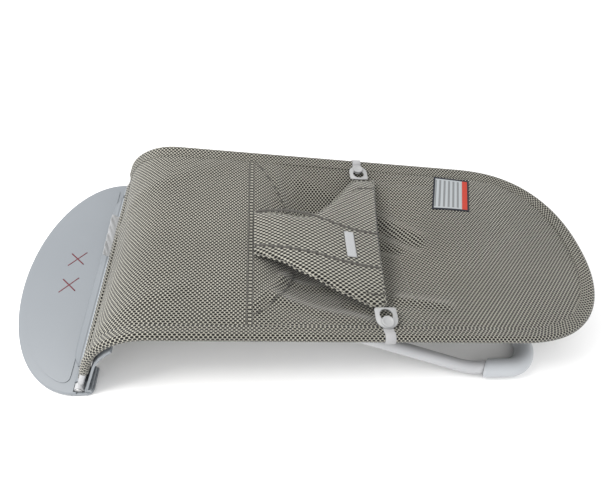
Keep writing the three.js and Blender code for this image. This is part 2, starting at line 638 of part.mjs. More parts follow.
// The fabric between two distances along the rail.
function railSheet(from, to, steps) {
  const sections = [];
  for (let i = 0; i <= steps; i++) {
    const u = (from + ((to - from) * i) / steps) / RAIL_LENGTH;
    const at = rail.getPointAt(u);
    const along = rail.getTangentAt(u);
    const up = new THREE.Vector2(-along.z, along.x).normalize();
    sections.push(strip(at, up, at.y - WIRE_R - EASE));
  }
  return new LoftGeometry(sections, { capStart: true, capEnd: true });
}

const railAtX = (x) => RAIL_LENGTH - (HEAD_START - x) * Math.hypot(1, SEAT_SLOPE);

const footEdge = CROSSBAR_UP + FOOT_EDGE - AXLE.distanceTo(railStart);
const footPanel = () => railSheet(footEdge, railAtX(SEAM_X) - GAP / 2, FOOT_STEPS);
const seatPanel = () => railSheet(railAtX(SEAM_X) + GAP / 2, railAtX(BACK_X) - GAP / 2, SEAT_STEPS);

function backPanel() {
  const up = new THREE.Vector2(SEAT_SLOPE, 1).normalize();
  const inner = WIRE_R + EASE;
  const sections = [];
  for (let i = 0; i <= BACK_STEPS; i++) {
    const x = THREE.MathUtils.lerp(BACK_X + GAP / 2, HEAD_START, i / BACK_STEPS);
    sections.push(strip(V(x, 0, railZ(x)), up, railY(x) - inner));
  }
  for (let i = 1; i <= HEAD_STEPS; i++) {
    const turn = (Math.PI / 2) * (1 - i / (HEAD_STEPS + HEAD_SHORT));
    const x = HEAD_START + (HEAD_LENGTH - inner) * Math.cos(turn) ** HEAD_POWER_X;
    sections.push(strip(V(x, 0, railZ(x)), up, (HEAD_Y - inner) * Math.sin(turn) ** HEAD_POWER_Y));
  }
  return new LoftGeometry(sections, { capStart: true, capEnd: true });
}

// Harness

const harnessZ = (x, y) => railZ(x) + HARNESS_RISE - HARNESS_DROP * (y / HARNESS_OUTLINE.at(-1)[1]) ** 2;

function harnessPanel() {
  const sections = HARNESS_OUTLINE.map(([x, half]) => {
    const row = (side) => Array.from({ length: ACROSS + 1 }, (_, i) => {
      const y = half * ((2 * i) / ACROSS - 1);
      return V(x, y, harnessZ(x, y) + (side * HARNESS_THICK) / 2);
    });
    return [...row(-1), ...row(1).reverse()];
  });
  return new LoftGeometry(sections, { capStart: true, capEnd: true });
}

const CLIP_Z = harnessZ(CLIP_X, CLIP_Y[0]);

// The flat clip at each tip of the harness, with its keyhole.
function harnessClip() {
  const [inner, outer] = CLIP_Y;
  const shape = new THREE.Shape();
  shape.moveTo(CLIP_X - CLIP_HALF, inner);
  shape.lineTo(CLIP_X + CLIP_HALF, inner);
  shape.absarc(CLIP_X + CLIP_HALF - CLIP_CORNER, outer - CLIP_CORNER, CLIP_CORNER, 0, Math.PI / 2);
  shape.absarc(CLIP_X - CLIP_HALF + CLIP_CORNER, outer - CLIP_CORNER, CLIP_CORNER, Math.PI / 2, Math.PI);
  const wide = BUTTON_HEAD_R + KEYHOLE_CLEAR;
  const narrow = BUTTON_NECK_R + KEYHOLE_CLEAR;
  const middle = BUTTON_Y - BUTTON_TRAVEL;
  const turn = Math.asin(narrow / wide);
  const keyhole = new THREE.Path();
  keyhole.absarc(CLIP_X, middle, wide, Math.PI / 2 + turn, 2.5 * Math.PI - turn);
  keyhole.absarc(CLIP_X, BUTTON_Y, narrow, 0, Math.PI);
  keyhole.closePath();
  shape.holes.push(keyhole);
  return plateLayer(shape, CLIP_Z - CLIP_THICK / 2, CLIP_Z + CLIP_THICK / 2);
}

const BUTTON_LOW = CLIP_Z - CLIP_THICK / 2 - GAP - BUTTON_BASE;

// The button on the strap: a base below the clip, a neck in its slot and a head above it.
function harnessButton() {
  const head = CLIP_Z + CLIP_THICK / 2 + GAP;
  const top = head + BUTTON_HEAD;
  const profile = [
    [0, BUTTON_LOW], [BUTTON_BASE_R, BUTTON_LOW], [BUTTON_BASE_R, BUTTON_LOW + BUTTON_BASE],
    [BUTTON_NECK_R, BUTTON_LOW + BUTTON_BASE], [BUTTON_NECK_R, head], [BUTTON_HEAD_R, head],
    [BUTTON_HEAD_R, top - BUTTON_CHAMFER], [BUTTON_HEAD_R - BUTTON_CHAMFER, top], [0, top],
  ].map(([r, z]) => new THREE.Vector2(r, z));
  return new THREE.LatheGeometry(profile, ROUND).rotateX(Math.PI / 2).translate(CLIP_X, BUTTON_Y, 0);
}

// Webbing from the button's base, up over the rail's fabric tunnel and down its outer side.
function beltStrap() {
  const wire = V(CLIP_X, railY(CLIP_X), railZ(CLIP_X));
  const inside = WIRE_R + HEM + 2 * GAP;
  const outside = inside + STRAP_THICK;
  const start = BUTTON_Y + BUTTON_BASE_R + GAP;
  const shape = new THREE.Shape();
  shape.moveTo(start, BUTTON_LOW);
  shape.absarc(wire.y, wire.z, inside, rad(STRAP_RISE), rad(STRAP_WRAP), true);
  shape.absarc(wire.y, wire.z, outside, rad(STRAP_WRAP), rad(STRAP_RISE));
  shape.lineTo(start, BUTTON_LOW + STRAP_THICK);
  return slabYZ(shape, CLIP_X - STRAP_WIDTH / 2, CLIP_X + STRAP_WIDTH / 2);
}

// Sewn labels

// A thin label that lies on a surface z(x, y).
function patch([x0, x1, y0, y1], surface) {
  const section = (x) => {
    const row = (lift) => Array.from({ length: LABEL_STEPS + 1 }, (_, i) => {
      const y = THREE.MathUtils.lerp(y0, y1, i / LABEL_STEPS);
      return V(x, y, surface(x, y) + lift);
    });
    return [...row(GAP), ...row(GAP + LABEL).reverse()];
  };
  const place = (_, i) => THREE.MathUtils.lerp(x0, x1, i / LABEL_STEPS);
  const places = Array.from({ length: LABEL_STEPS + 1 }, place);
  return new LoftGeometry(places.map(section), { capStart: true, capEnd: true });
}

const backSurface = (x, y) => {
  const half = railY(x) - WIRE_R - EASE;
  return railZ(x) + FABRIC / 2 + 2 * GAP - sag(x) * (1 - (y / half) ** 2) ** SAG_POWER;
};

function backLabel() {
  const [x0, x1, y0, y1] = BACK_LABEL;
  return patch([HEAD_START + x0, HEAD_START + x1, y0, y1], backSurface);
}

const harnessTop = (x, y) => harnessZ(x, y) + HARNESS_THICK / 2 + GAP;
const harnessTag = () => patch(HARNESS_TAG, harnessTop);

// The care tag is sewn into the fabric's lower edge and stands up in front of it.
function careTag() {
  const [width, low, high, tilt] = CARE_TAG;
  const tag = new THREE.BoxGeometry(width, high - low, LABEL).translate(-width / 2, (low + high) / 2, 0);
  const at = AXLE.clone().addScaledVector(shinUp, CROSSBAR_UP);
  return tag.rotateY(rad(tilt)).translate(at.x - WIRE_R - 2 * GAP, 0, at.z);
}

// Assembly

const bouncer = new THREE.Group();
bouncer.position.x = -OVERALL / 2;

function add(group, name, shape, finish) {
  const piece = new THREE.Mesh(geometryOf(shape), new THREE.MeshStandardMaterial(finish));
  piece.name = name;
  group.add(piece);
}

add(bouncer, 'base_plate', basePlate(), plastic);
add(bouncer, 'base_cover', baseCover(), plastic);
add(bouncer, 'grip_pad_front', gripPad(FRONT_PAD), rubber);
add(bouncer, 'foot_crossbar', footCrossbar(), painted);
add(bouncer, 'head_rail', headRail(), painted);
add(bouncer, 'rear_tube', rearTube(), painted);
add(bouncer, 'foot_panel', footPanel(), mesh);
add(bouncer, 'seat_panel', seatPanel(), mesh);
add(bouncer, 'back_panel', backPanel(), mesh);
add(bouncer, 'harness_panel', harnessPanel(), harnessMesh);
add(bouncer, 'harness_tag', harnessTag(), label);
add(bouncer, 'back_label', backLabel(), label);
add(bouncer, 'care_tag', careTag(), label);

const pairs = [
  ['grip_pad', gripPad(SIDE_PAD), rubber],
  ['shin_guard', shinGuard(), plastic],
  ['hinge_pin', hingePin(), steel],
  ['hinge_eye', hingeEye(), painted],
  ['side_rail', sideRail(), painted],
  ['leg_mount', legMount(), painted],
  ['pivot_pin', pivotPin(), steel],
  ['leg_head', legHead(), plastic],
  ['leg_tube', legTube(), painted],
  ['corner_sleeve', cornerSleeve(), plastic],
  ['sleeve_sole', sleeveSole(), rubber],
  ['latch_grip', latchGrip(), plastic],
  ['harness_clip', harnessClip(), nylon],
  ['harness_button', harnessButton(), nylon],
  ['belt_strap', beltStrap(), webbing],
  ...GUARD_SCREWS.map((y, i) => [`guard_screw_${i + 1}`, guardScrew(y), steel]),
];
for (const [name, shape, finish] of pairs) {
  add(bouncer, `${name}_right`, shape, finish);
  add(bouncer, `${name}_left`, solid(shape).mirror([0, 1, 0]), finish);
}

export default bouncer;
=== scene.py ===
"""A baby bouncer folded flat: fabric, tubes, plate details, finishes, light and camera round the CAD frame.

Everything is in metres, in the frame's own axes: +X to the head, +Y the child's right, +Z up, floor at z = 0.
Pieces that come in pairs are made with side = 1 (right, +Y) and side = -1 (left).
"""

import json
import math

import bmesh
import bpy
from mathutils import Matrix, Quaternion, Vector


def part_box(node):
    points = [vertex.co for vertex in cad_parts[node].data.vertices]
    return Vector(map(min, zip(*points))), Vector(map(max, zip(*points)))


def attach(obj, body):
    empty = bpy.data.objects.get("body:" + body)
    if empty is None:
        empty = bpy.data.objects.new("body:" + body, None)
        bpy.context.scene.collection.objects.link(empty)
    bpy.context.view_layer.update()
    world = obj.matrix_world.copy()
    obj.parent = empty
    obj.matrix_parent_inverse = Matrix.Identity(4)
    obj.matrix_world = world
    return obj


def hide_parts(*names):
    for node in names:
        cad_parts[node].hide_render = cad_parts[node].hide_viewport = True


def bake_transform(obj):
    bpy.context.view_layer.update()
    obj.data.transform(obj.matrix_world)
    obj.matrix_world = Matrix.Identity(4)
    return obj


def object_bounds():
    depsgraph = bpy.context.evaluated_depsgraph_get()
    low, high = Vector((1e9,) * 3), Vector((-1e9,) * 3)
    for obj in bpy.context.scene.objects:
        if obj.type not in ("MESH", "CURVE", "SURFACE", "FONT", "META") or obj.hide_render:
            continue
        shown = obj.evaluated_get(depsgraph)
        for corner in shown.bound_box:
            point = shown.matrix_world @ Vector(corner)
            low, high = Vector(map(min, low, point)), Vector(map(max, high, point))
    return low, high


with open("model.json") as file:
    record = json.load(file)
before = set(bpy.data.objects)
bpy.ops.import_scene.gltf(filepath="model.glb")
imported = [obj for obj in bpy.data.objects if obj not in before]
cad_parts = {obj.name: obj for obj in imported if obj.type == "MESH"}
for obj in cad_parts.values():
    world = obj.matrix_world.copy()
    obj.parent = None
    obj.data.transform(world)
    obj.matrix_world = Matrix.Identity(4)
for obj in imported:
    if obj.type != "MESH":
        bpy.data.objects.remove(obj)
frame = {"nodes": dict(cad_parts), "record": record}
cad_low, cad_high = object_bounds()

MM = 0.001
SIDES = {"right": 1, "left": -1}
CLOTH_MAP = "cloth"          # the surface map of every cloth piece, in metres

# Stock and cloth
WIRE_R = 4 * MM
TUNNEL = 2 * MM              # cloth round the wire
TUNNEL_TAIL = 15 * MM        # from the wire to the tunnel's stitched edge
TUBE_R = 9 * MM
CLOTH = 2.6 * MM
CLOTH_EASE = 0.6 * MM

# Seat frame, from the hinge
FRONT = cad_low[0]                                  # the plate's front edge
eye_low, eye_high = (Vector(corner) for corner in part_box("hinge_eye_right"))
AXLE = (eye_low + eye_high) / 2
KNEE = Vector((AXLE.x + 41 * MM, 170 * MM, AXLE.z + 108.6 * MM))
KNEE_RADIUS = 80 * MM
SLOPE = 0.06                                        # the rails fall towards the head
ARCH = Vector((KNEE.x + 533 * MM, 166.4 * MM, 0))   # where the head arch starts
ARCH_LENGTH = cad_high[0] - WIRE_R - ARCH.x
ARCH_POWER_X = 2 / 2.61
ARCH_POWER_Y = 2 / 2.21
TUNNEL_START = 33 * MM                              # up the wire from the hinge

# Fabric
SEAM_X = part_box("seat_panel")[0][0]                 # crotch seam
BACK_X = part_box("back_panel")[0][0]
SAG = 8 * MM
POCKET = 46 * MM
POCKET_X = FRONT + 440 * MM
POCKET_END = FRONT + 700 * MM
SAG_POWER = 1.5

# Rear leg
PIVOT = sum((Vector(corner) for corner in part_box("pivot_pin_right")), Vector()) / 2
SLEEVE_R = 13.5 * MM
SLEEVE_BEND = 36 * MM
SLEEVE_ALONG = 71 * MM
SLEEVE_ACROSS = 62 * MM
SLEEVE_LEAD = 14 * MM
SLEEVE_LEAN = math.tan(math.radians(23))      # the mouth's top leads its bottom
SLEEVE_TURN = math.tan(math.radians(31))      # and its outer side leads its inner side
TUBE_LIFT = 2.8 * MM
LEG_Y = 174.5 * MM
LEG_BEND_RADIUS = 120 * MM
SOLE_TOP = 2.3 * MM
REAR_X = sum(corner[0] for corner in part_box("rear_tube")) / 2


# ---------------------------------------------------------------- shader writing

class Value:
    """A shader socket that takes part in Python arithmetic."""

    def __init__(self, finish, socket):
        self.finish = finish
        self.socket = socket

    def maths(self, operation, *others):
        values = {0: self, **dict(enumerate(others, 1))}
        return self.finish.node("ShaderNodeMath", {"operation": operation}, values)

    def __add__(self, other):
        return self.maths("ADD", other)

    __radd__ = __add__

    def __sub__(self, other):
        return self.maths("SUBTRACT", other)

    def __rsub__(self, other):
        return self.finish.node("ShaderNodeMath", {"operation": "SUBTRACT"}, {0: other, 1: self})

    def __mul__(self, other):
        return self.maths("MULTIPLY", other)

    __rmul__ = __mul__

    def __truediv__(self, other):
        return self.maths("DIVIDE", other)

    def fraction(self):
        return self.maths("FRACT")

    def sine(self):
        return self.maths("SINE")

    def size(self):
        return self.maths("ABSOLUTE")

    def least(self, other):
        return self.maths("MINIMUM", other)

    def most(self, other):
        return self.maths("MAXIMUM", other)

    def step(self, start, end):
        """0 below start, 1 above end, smooth between; start may be above end."""
        return self.finish.node(
            "ShaderNodeMapRange",
            {"interpolation_type": "SMOOTHSTEP"},
            {"Value": self, "From Min": start, "From Max": end},
        )


class Finish:
    """A material whose nodes are written as expressions."""

    def __init__(self, name, **fixed):
        self.material = bpy.data.materials.new(name)
        self.material.use_nodes = True
        self.tree = self.material.node_tree
        self.shader = next(n for n in self.tree.nodes if n.type == "BSDF_PRINCIPLED")
        for socket, value in fixed.items():
            self.shader.inputs[socket.replace("_", " ").title().replace("Ior", "IOR")].default_value = value

    def plug(self, socket, value):
        if isinstance(value, Value):
            self.tree.links.new(value.socket, socket)
        else:
            socket.default_value = value

    def node(self, kind, settings, inputs=None, output=0):
        made = self.tree.nodes.new(kind)
        for name, value in settings.items():
            setattr(made, name, value)
        for name, value in (inputs or {}).items():
            self.plug(made.inputs[name], value)
        return Value(self, made.outputs[output])

    def set(self, socket, value):
        self.plug(self.shader.inputs[socket], value)

    def place(self):
        """The point in the object's own metres."""
        return self.node("ShaderNodeTexCoord", {}, output="Object")

    def cloth_place(self):
        """(along, across) on a cloth piece, in metres."""
        mapped = self.node("ShaderNodeUVMap", {"uv_map": CLOTH_MAP})
        along = self.node("ShaderNodeSeparateXYZ", {}, {0: mapped})
        return along, Value(self, along.socket.node.outputs[1])

    def noise(self, scale, detail=2.0, roughness=0.5, at=None):
        inputs = {"Vector": at or self.place(), "Scale": scale, "Detail": detail, "Roughness": roughness}
        return self.node("ShaderNodeTexNoise", {}, inputs)

    def mix(self, amount, first, second):
        values = {0: amount, 6: first, 7: second}
        return self.node("ShaderNodeMix", {"data_type": "RGBA"}, values, output=2)

    def bump(self, height, distance, strength=1.0):
        self.set("Normal", self.node(
            "ShaderNodeBump", {}, {"Height": height, "Distance": distance, "Strength": strength}))


def shade(level, tint=(1.0, 1.0, 1.0)):
    return (level * tint[0], level * tint[1], level * tint[2], 1.0)


# ---------------------------------------------------------------- finishes

def knitted_mesh(name, thread, ridge_highlight, hole_painted_shade, pitch, hole_size, hole_depth):
    """Spacer mesh: staggered oval holes between twisted threads, with a painted highlight on the thread tops
    and painted shade in the holes.
    """
    finish = Finish(name, roughness=0.85, sheen_weight=0.25, specular_ior_level=0.25)
    along, across = finish.cloth_place()
    wander = finish.noise(70.0) - 0.5
    u = (along + wander * 0.0012) / pitch[0]
    v = (across + wander * 0.0012) / pitch[1]

    def oval(u, v):
        du = (u.fraction() - 0.5) * (pitch[0] / hole_size[0])
        dv = (v.fraction() - 0.5) * (pitch[1] / hole_size[1])
        return du * du + dv * dv

    distance = oval(u, v).least(oval(u + 0.5, v + 0.5))
    opening = distance.step(1.15, 0.9)
    thread_top = distance.step(1.2, 2.4)
    twist = ((u + v) * (2 * math.pi * 5)).sine() * 0.5 + 0.5
    blotch = finish.noise(9.0, 3.0)
    # painted highlight: the thread tops between the holes are lightened towards the ridge colour
    cloth = finish.mix(thread_top * (0.55 + 0.45 * twist), thread, ridge_highlight)
    cloth = finish.mix(blotch.step(0.3, 0.75) * 0.35, cloth, shade(0.8, thread[:3]))
    # painted shade: the holes are filled with a near-black colour for the shade seen through them
    finish.set("Base Color", finish.mix(opening, cloth, hole_painted_shade))
    finish.set("Roughness", 0.8 + 0.15 * opening)
    finish.bump(thread_top * 0.35 + twist * 0.12 - opening * 1.0, hole_depth)
    return finish.material


def moulded(name, colour, roughness, grain=0.00004):
    """Satin moulded plastic with a fine grain and slightly uneven gloss."""
    finish = Finish(name, roughness=roughness, specular_ior_level=0.45)
    cloud = finish.noise(6.0, 3.0)
    speck = finish.noise(1400.0, 2.0)
    finish.set("Base Color", finish.mix(cloud.step(0.25, 0.8) * 0.5, colour, shade(0.9, colour[:3])))
    finish.set("Roughness", roughness - 0.05 + 0.1 * speck)
    finish.bump(speck, grain, 0.5)
    return finish.material


def powder_coat(name, colour):
    finish = Finish(name, roughness=0.42, metallic=0.0, specular_ior_level=0.55)
    peel = finish.noise(900.0, 3.0)
    cloud = finish.noise(12.0, 2.0)
    finish.set("Base Color", finish.mix(cloud.step(0.3, 0.8) * 0.5, colour, shade(0.93, colour[:3])))
    finish.set("Roughness", 0.36 + 0.14 * peel)
    finish.bump(peel, 0.00005, 0.6)
    return finish.material


def zinc(name):
    finish = Finish(name, metallic=1.0, roughness=0.32)
    brushed = finish.noise(600.0, 4.0)
    finish.set("Base Color", finish.mix(brushed, shade(0.42), shade(0.62)))
    finish.set("Roughness", 0.25 + 0.2 * brushed)
    return finish.material


def rubber(name):
    finish = Finish(name, roughness=0.9, specular_ior_level=0.2)
    speck = finish.noise(700.0, 3.0)
    finish.set("Base Color", finish.mix(speck, shade(0.09), shade(0.13)))
    finish.bump(speck, 0.0001)
    return finish.material


def woven(name, colour, count):
    """Flat woven tape: over-and-under threads both ways."""
    finish = Finish(name, roughness=0.75, sheen_weight=0.2, specular_ior_level=0.3)
    along, across = finish.cloth_place()
    warp = (across * (2 * math.pi * count)).sine()
    weft = (along * (2 * math.pi * count)).sine()
    weave = warp * weft * 0.5 + 0.5
    finish.set("Base Color", finish.mix(weave, shade(0.8, colour[:3]), colour))
    finish.bump(weave, 0.00012)
    return finish.material


def printed_label(name, border, band, bars):
    """A sewn label with a dark border, a colour band at one end and plain grey bars.

    Its (along, across) run from 0 to 1.
    """
    finish = Finish(name, roughness=0.6, specular_ior_level=0.35)
    along, across = finish.cloth_place()
    inside = (along - 0.5).size().most((across - 0.5).size()).step(0.5 - border, 0.5 - border - 0.006)
    line = ((along * bars).fraction() - 0.5).size().step(0.2, 0.26)
    length = (across - 0.5).size().step(0.42, 0.41) * along.step(0.05, 0.06) * along.step(band, band - 0.02)
    sheet_colour = finish.mix((1 - line) * length * 0.6, shade(0.33, (0.94, 1.0, 1.04)), shade(0.05))
    banded = finish.mix(along.step(band, band + 0.01), sheet_colour, (0.36, 0.028, 0.014, 1))
    finish.set("Base Color", finish.mix(inside, shade(0.01, (0.8, 1.0, 1.6)), banded))
    fibre = (across * 900.0).sine()
    finish.bump(fibre, 0.00003)
    return finish.material


THREAD_TINT = (1.04, 1.0, 0.83)
# painted highlight: each mesh's ridge colour is its thread colour made lighter for the lit thread tops
RIDGE_HIGHLIGHT_TINT = (1.02, 1.0, 0.87)
# painted shade: this near-black colour stands for the shade seen through the mesh's holes
HOLE_PAINTED_SHADE = shade(0.001, (1.2, 1.0, 0.8))
SEAT_MESH = knitted_mesh(
    "seat_mesh", shade(0.24, THREAD_TINT), shade(0.68, RIDGE_HIGHLIGHT_TINT), HOLE_PAINTED_SHADE,
    (5.6 * MM, 5.9 * MM), (2.0 * MM, 1.5 * MM), 0.0009)
HARNESS_MESH = knitted_mesh(
    "harness_mesh", shade(0.18, THREAD_TINT), shade(0.50, RIDGE_HIGHLIGHT_TINT), HOLE_PAINTED_SHADE,
    (8.2 * MM, 5.8 * MM), (2.4 * MM, 1.5 * MM), 0.0011)
BINDING = woven("binding_tape", shade(0.055, (1.06, 1.0, 0.88)), 1600)
WEBBING = woven("strap_webbing", shade(0.34, (0.98, 0.98, 1.0)), 900)
PLATE = moulded("plate_plastic", shade(0.195, (0.92, 1.0, 1.09)), 0.42)
# painted highlight: the bead is the plate plastic made lighter to stand for the light line along the lip's
# edge
PLATE_BEAD_HIGHLIGHT = moulded("plate_bead_painted_highlight", shade(0.38, (0.92, 1.0, 1.10)), 0.35)
SLEEVE = moulded("sleeve_plastic", shade(0.40, (0.96, 1.0, 1.05)), 0.45)
PAINT = powder_coat("frame_paint", shade(0.38, (0.98, 0.99, 1.02)))
NYLON = moulded("clip_nylon", shade(0.30, (0.99, 1.0, 1.01)), 0.38)
ZINC = zinc("zinc_steel")
RUBBER = rubber("foot_rubber")
RED = moulded("red_mark", (0.10, 0.002, 0.010, 1), 0.5)
BACK_LABEL = printed_label("back_label_print", 0.045, 0.8, 8)
TAG_CLOTH = woven("tag_cloth", shade(0.36, (0.97, 0.99, 1.02)), 1100)


# ---------------------------------------------------------------- meshes

def piece(name, vertices, faces, finish, body, uvs=None, smooth=True):
    """A mesh that rides on a body. uvs, if given, holds one (along, across) for each face corner."""
    data = bpy.data.meshes.new(name)
    data.from_pydata([tuple(v) for v in vertices], [], faces)
    layer = data.uv_layers.new(name=CLOTH_MAP)
    if uvs:
        for corner, uv in zip(layer.uv, uvs):
            corner.vector = uv
    data.polygons.foreach_set("use_smooth", [smooth] * len(data.polygons))
    data.materials.append(finish)
    data.update()
    made = bpy.data.objects.new(name, data)
    bpy.context.collection.objects.link(made)
    if body:
        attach(made, body)
    return made


def grid(rows, closed=False, capped=False, place=None):
    """Vertices, faces and corner places of a lofted surface.

    A closed row joins its last point to its first.
    """
    count = len(rows[0])
    vertices = [point for row in rows for point in row]
    lengths = [0.0]
    for before, after in zip(rows, rows[1:]):
        step = sum(((b - a).length for a, b in zip(before, after)), 0.0) / count
        lengths.append(lengths[-1] + step)
    across = []
    for row in rows:
        run = [0.0]
        for a, b in zip(row, row[1:] + row[:1]):
            run.append(run[-1] + (b - a).length)
        across.append(run)
    faces = []
    uvs = []
    spans = count if closed else count - 1
    for i in range(len(rows) - 1):
        for j in range(spans):
            k = (j + 1) % count
            faces.append((i * count + j, (i + 1) * count + j, (i + 1) * count + k, i * count + k))
            for row, column in ((i, j), (i + 1, j), (i + 1, j + 1), (i, j + 1)):
                uvs.append(place(row, column) if place else (lengths[row], across[row][column]))
    if capped:
        last = (len(rows) - 1) * count
        faces.append(tuple(range(count)))
        faces.append(tuple(last + j for j in reversed(range(count))))
        uvs += [(0.0, 0.0)] * (2 * count)
    return vertices, faces, uvs


def apply_modifiers(made):
    depsgraph = bpy.context.evaluated_depsgraph_get()
    data = bpy.data.meshes.new_from_object(made.evaluated_get(depsgraph))
    made.modifiers.clear()
    made.data = data


def outward(made):
    """Turns the faces of a closed mesh outward."""
    work = bmesh.new()
    work.from_mesh(made.data)
    bmesh.ops.recalc_face_normals(work, faces=work.faces)
    work.to_mesh(made.data)
    work.free()


def closed_piece(name, rows, finish, body, place=None):
    vertices, faces, uvs = grid(rows, closed=True, capped=True, place=place)
    made = piece(name, vertices, faces, finish, body, uvs)
    outward(made)
    return made


def thicken(made, thickness, offset=0.0):
    modifier = made.modifiers.new("thickness", "SOLIDIFY")
    modifier.thickness = thickness
    modifier.offset = offset
    apply_modifiers(made)


def soften(made, width, angle=35.0, segments=3):
    """Rounds the hard edges."""
    modifier = made.modifiers.new("edges", "BEVEL")
    modifier.width = width
    modifier.segments = segments
    modifier.limit_method = "ANGLE"
    modifier.angle_limit = math.radians(angle)
    modifier.use_clamp_overlap = True


def ring(centre, e, n, radius, count):
    turns = (2 * math.pi * i / count for i in range(count))
    return [centre + e * (radius * math.cos(t)) + n * (radius * math.sin(t)) for t in turns]


def frames_along(points):
    """A pair of cross directions at each point of a path, turned as little as possible."""
    tangents = []
    for i in range(len(points)):
        tangents.append((points[min(i + 1, len(points) - 1)] - points[max(i - 1, 0)]).normalized())
    first = tangents[0].orthogonal().normalized()
    pairs = []
    for tangent in tangents:
        first = (first - tangent * first.dot(tangent)).normalized()
        pairs.append((first.copy(), tangent.cross(first)))
    return pairs


def rod_rows(points, radius, count=28, ends=0.0006):
    """Rings of a round bar along points, with small rounded ends."""
    pairs = frames_along(points)
    start = (points[1] - points[0]).normalized()
    finish = (points[-1] - points[-2]).normalized()
    rows = [ring(points[0], *pairs[0], radius - ends, count)]
    rows.append(ring(points[0] + start * ends, *pairs[0], radius, count))
    rows += [ring(p, *pair, radius, count) for p, pair in list(zip(points, pairs))[1:-1]]
    rows.append(ring(points[-1] - finish * ends, *pairs[-1], radius, count))
    rows.append(ring(points[-1], *pairs[-1], radius - ends, count))
    return rows


def bent(corners, radii, step=0.006, bend_step=math.radians(4)):
    """Points along straight runs whose inner corners are bent to their radii."""
    points = [corners[0]]
    for i, radius in enumerate(radii, 1):
        before = (corners[i] - corners[i - 1]).normalized()
        after = (corners[i + 1] - corners[i]).normalized()
        angle = before.angle(after)
        reach = radius * math.tan(angle / 2)
        axis = before.cross(after).normalized()
        start = corners[i] - before * reach
        centre = start + axis.cross(before) * radius
        count = max(2, round(angle / bend_step))
        points.append(start)
        for k in range(1, count + 1):
            points.append(centre + Quaternion(axis, angle * k / count) @ (start - centre))
    points.append(corners[-1])
    filled = [points[0]]
    for point in points[1:]:
        gap = point - filled[-1]
        count = max(1, int(gap.length / step))
        origin = filled[-1]
        filled += [origin + gap * (k / count) for k in range(1, count + 1)]
    return filled


def mirror(point, side):
    return Vector((point.x, point.y * side, point.z))


# ---------------------------------------------------------------- the seat's outline

def rail_z(x):
    return KNEE.z - SLOPE * (x - KNEE.x)


def rail_y(x):
    return KNEE.y + (ARCH.y - KNEE.y) * (x - KNEE.x) / (ARCH.x - KNEE.x)


def arch_point(turn, inset=0.0):
    """On the head arch; turn 0 is its middle and pi / 2 its right-hand start."""
    x = ARCH.x + (ARCH_LENGTH - inset) * max(math.cos(turn), 0.0) ** ARCH_POWER_X
    return Vector((x, (ARCH.y - inset) * math.sin(turn) ** ARCH_POWER_Y, rail_z(x)))


def right_side():
    """Wire centres from the hinge to the start of the head arch."""
    return bent([AXLE, KNEE, Vector((ARCH.x, ARCH.y, rail_z(ARCH.x)))], [KNEE_RADIUS])


def arch_side(count=40):
    """Wire centres from the start of the arch to its middle."""
    return [arch_point(math.pi / 2 * (1 - (i / count) ** 1.15)) for i in range(1, count + 1)]


def station(points, i):
    """(outward, up) of the cloth at point i of the right-hand wire."""
    tangent = (points[min(i + 1, len(points) - 1)] - points[max(i - 1, 0)]).normalized()
    if points[i].x > ARCH.x - 1e-6:
        if i == len(points) - 1:
            tangent = Vector((0, -1, 0))
        up = Vector((SLOPE, 0, 1)).normalized()
    else:
        up = tangent.cross(Vector((0, 1, 0))).normalized()
    return up.cross(tangent).normalized(), up


def sag_depth(x):
    def ease(t):
        return math.sin(math.pi / 2 * min(max(t, 0.0), 1.0)) ** 2
    if x < POCKET_X:
        return SAG + POCKET * ease((x - SEAM_X) / (POCKET_X - SEAM_X))
    return SAG + POCKET * ease((POCKET_END - x) / (POCKET_END - POCKET_X))


FOLDS = [
    # start (x, y), end (x, y), height, half-width; millimetres behind the plate's front edge
    ((372, -104), (492, -143), 4.0, 9),
    ((385, -68), (470, -70), 3.0, 9),
    ((540, 52), (606, 4), -3.5, 8),
    ((552, 66), (612, 22), 2.6, 8),
    ((538, 12), (574, -4), -3.0, 7),
    ((548, -98), (618, -116), 3.5, 8),
    ((470, -112), (530, -140), -3.0, 8),
    ((372, 150), (396, 62), 2.0, 6),
    ((402, -46), (343, -124), 2.0, 6),
    ((418, 130), (500, 96), 2.2, 10),
    ((560, 138), (640, 128), -1.6, 8),
    ((120, 60), (300, 150), 1.2, 14),
    ((150, -150), (260, -90), 1.2, 12),
]


FOLD_DEPTH = 1.6


def fold_height(x, y):
    """Soft creases in the slack cloth."""
    total = 0.0
    for (x0, y0), (x1, y1), height, half in FOLDS:
        start = Vector((FRONT + x0 * MM, y0 * MM))
        run = Vector((FRONT + x1 * MM, y1 * MM)) - start
        along = (Vector((x, y)) - start).dot(run) / run.length_squared
        nearest = start + run * min(max(along, 0.0), 1.0)
        off = (Vector((x, y)) - nearest).length / (half * MM)
        beyond = max(-along, along - 1.0, 0.0) * run.length / (half * MM)
        total += FOLD_DEPTH * height * MM * math.exp(-off * off - beyond * beyond)
    return total


def cloth_point(at, up, half, t, slack=1.0):
    """A point of the seat cloth: t from -1 to 1 across, at the rail point `at`."""
    depth = sag_depth(at.x) * min(1.0, half / ARCH.y) * slack
    calm = max(1 - t ** 6, 0.0)
    fold = fold_height(at.x, t * half) * calm
    drop = fold - depth * max(1 - t * t, 0.0) ** SAG_POWER
    return Vector((at.x + up.x * drop, t * half, at.z + up.z * drop))


def cloth_z(x, y):
    """Middle surface of the seat cloth at (x, y), on the flat part of the seat."""
    half = rail_y(min(x, ARCH.x)) - WIRE_R - CLOTH_EASE
    up = Vector((SLOPE, 0, 1)).normalized()
    return cloth_point(Vector((x, 0, rail_z(x))), up, half, y / half).z


ACROSS = 84


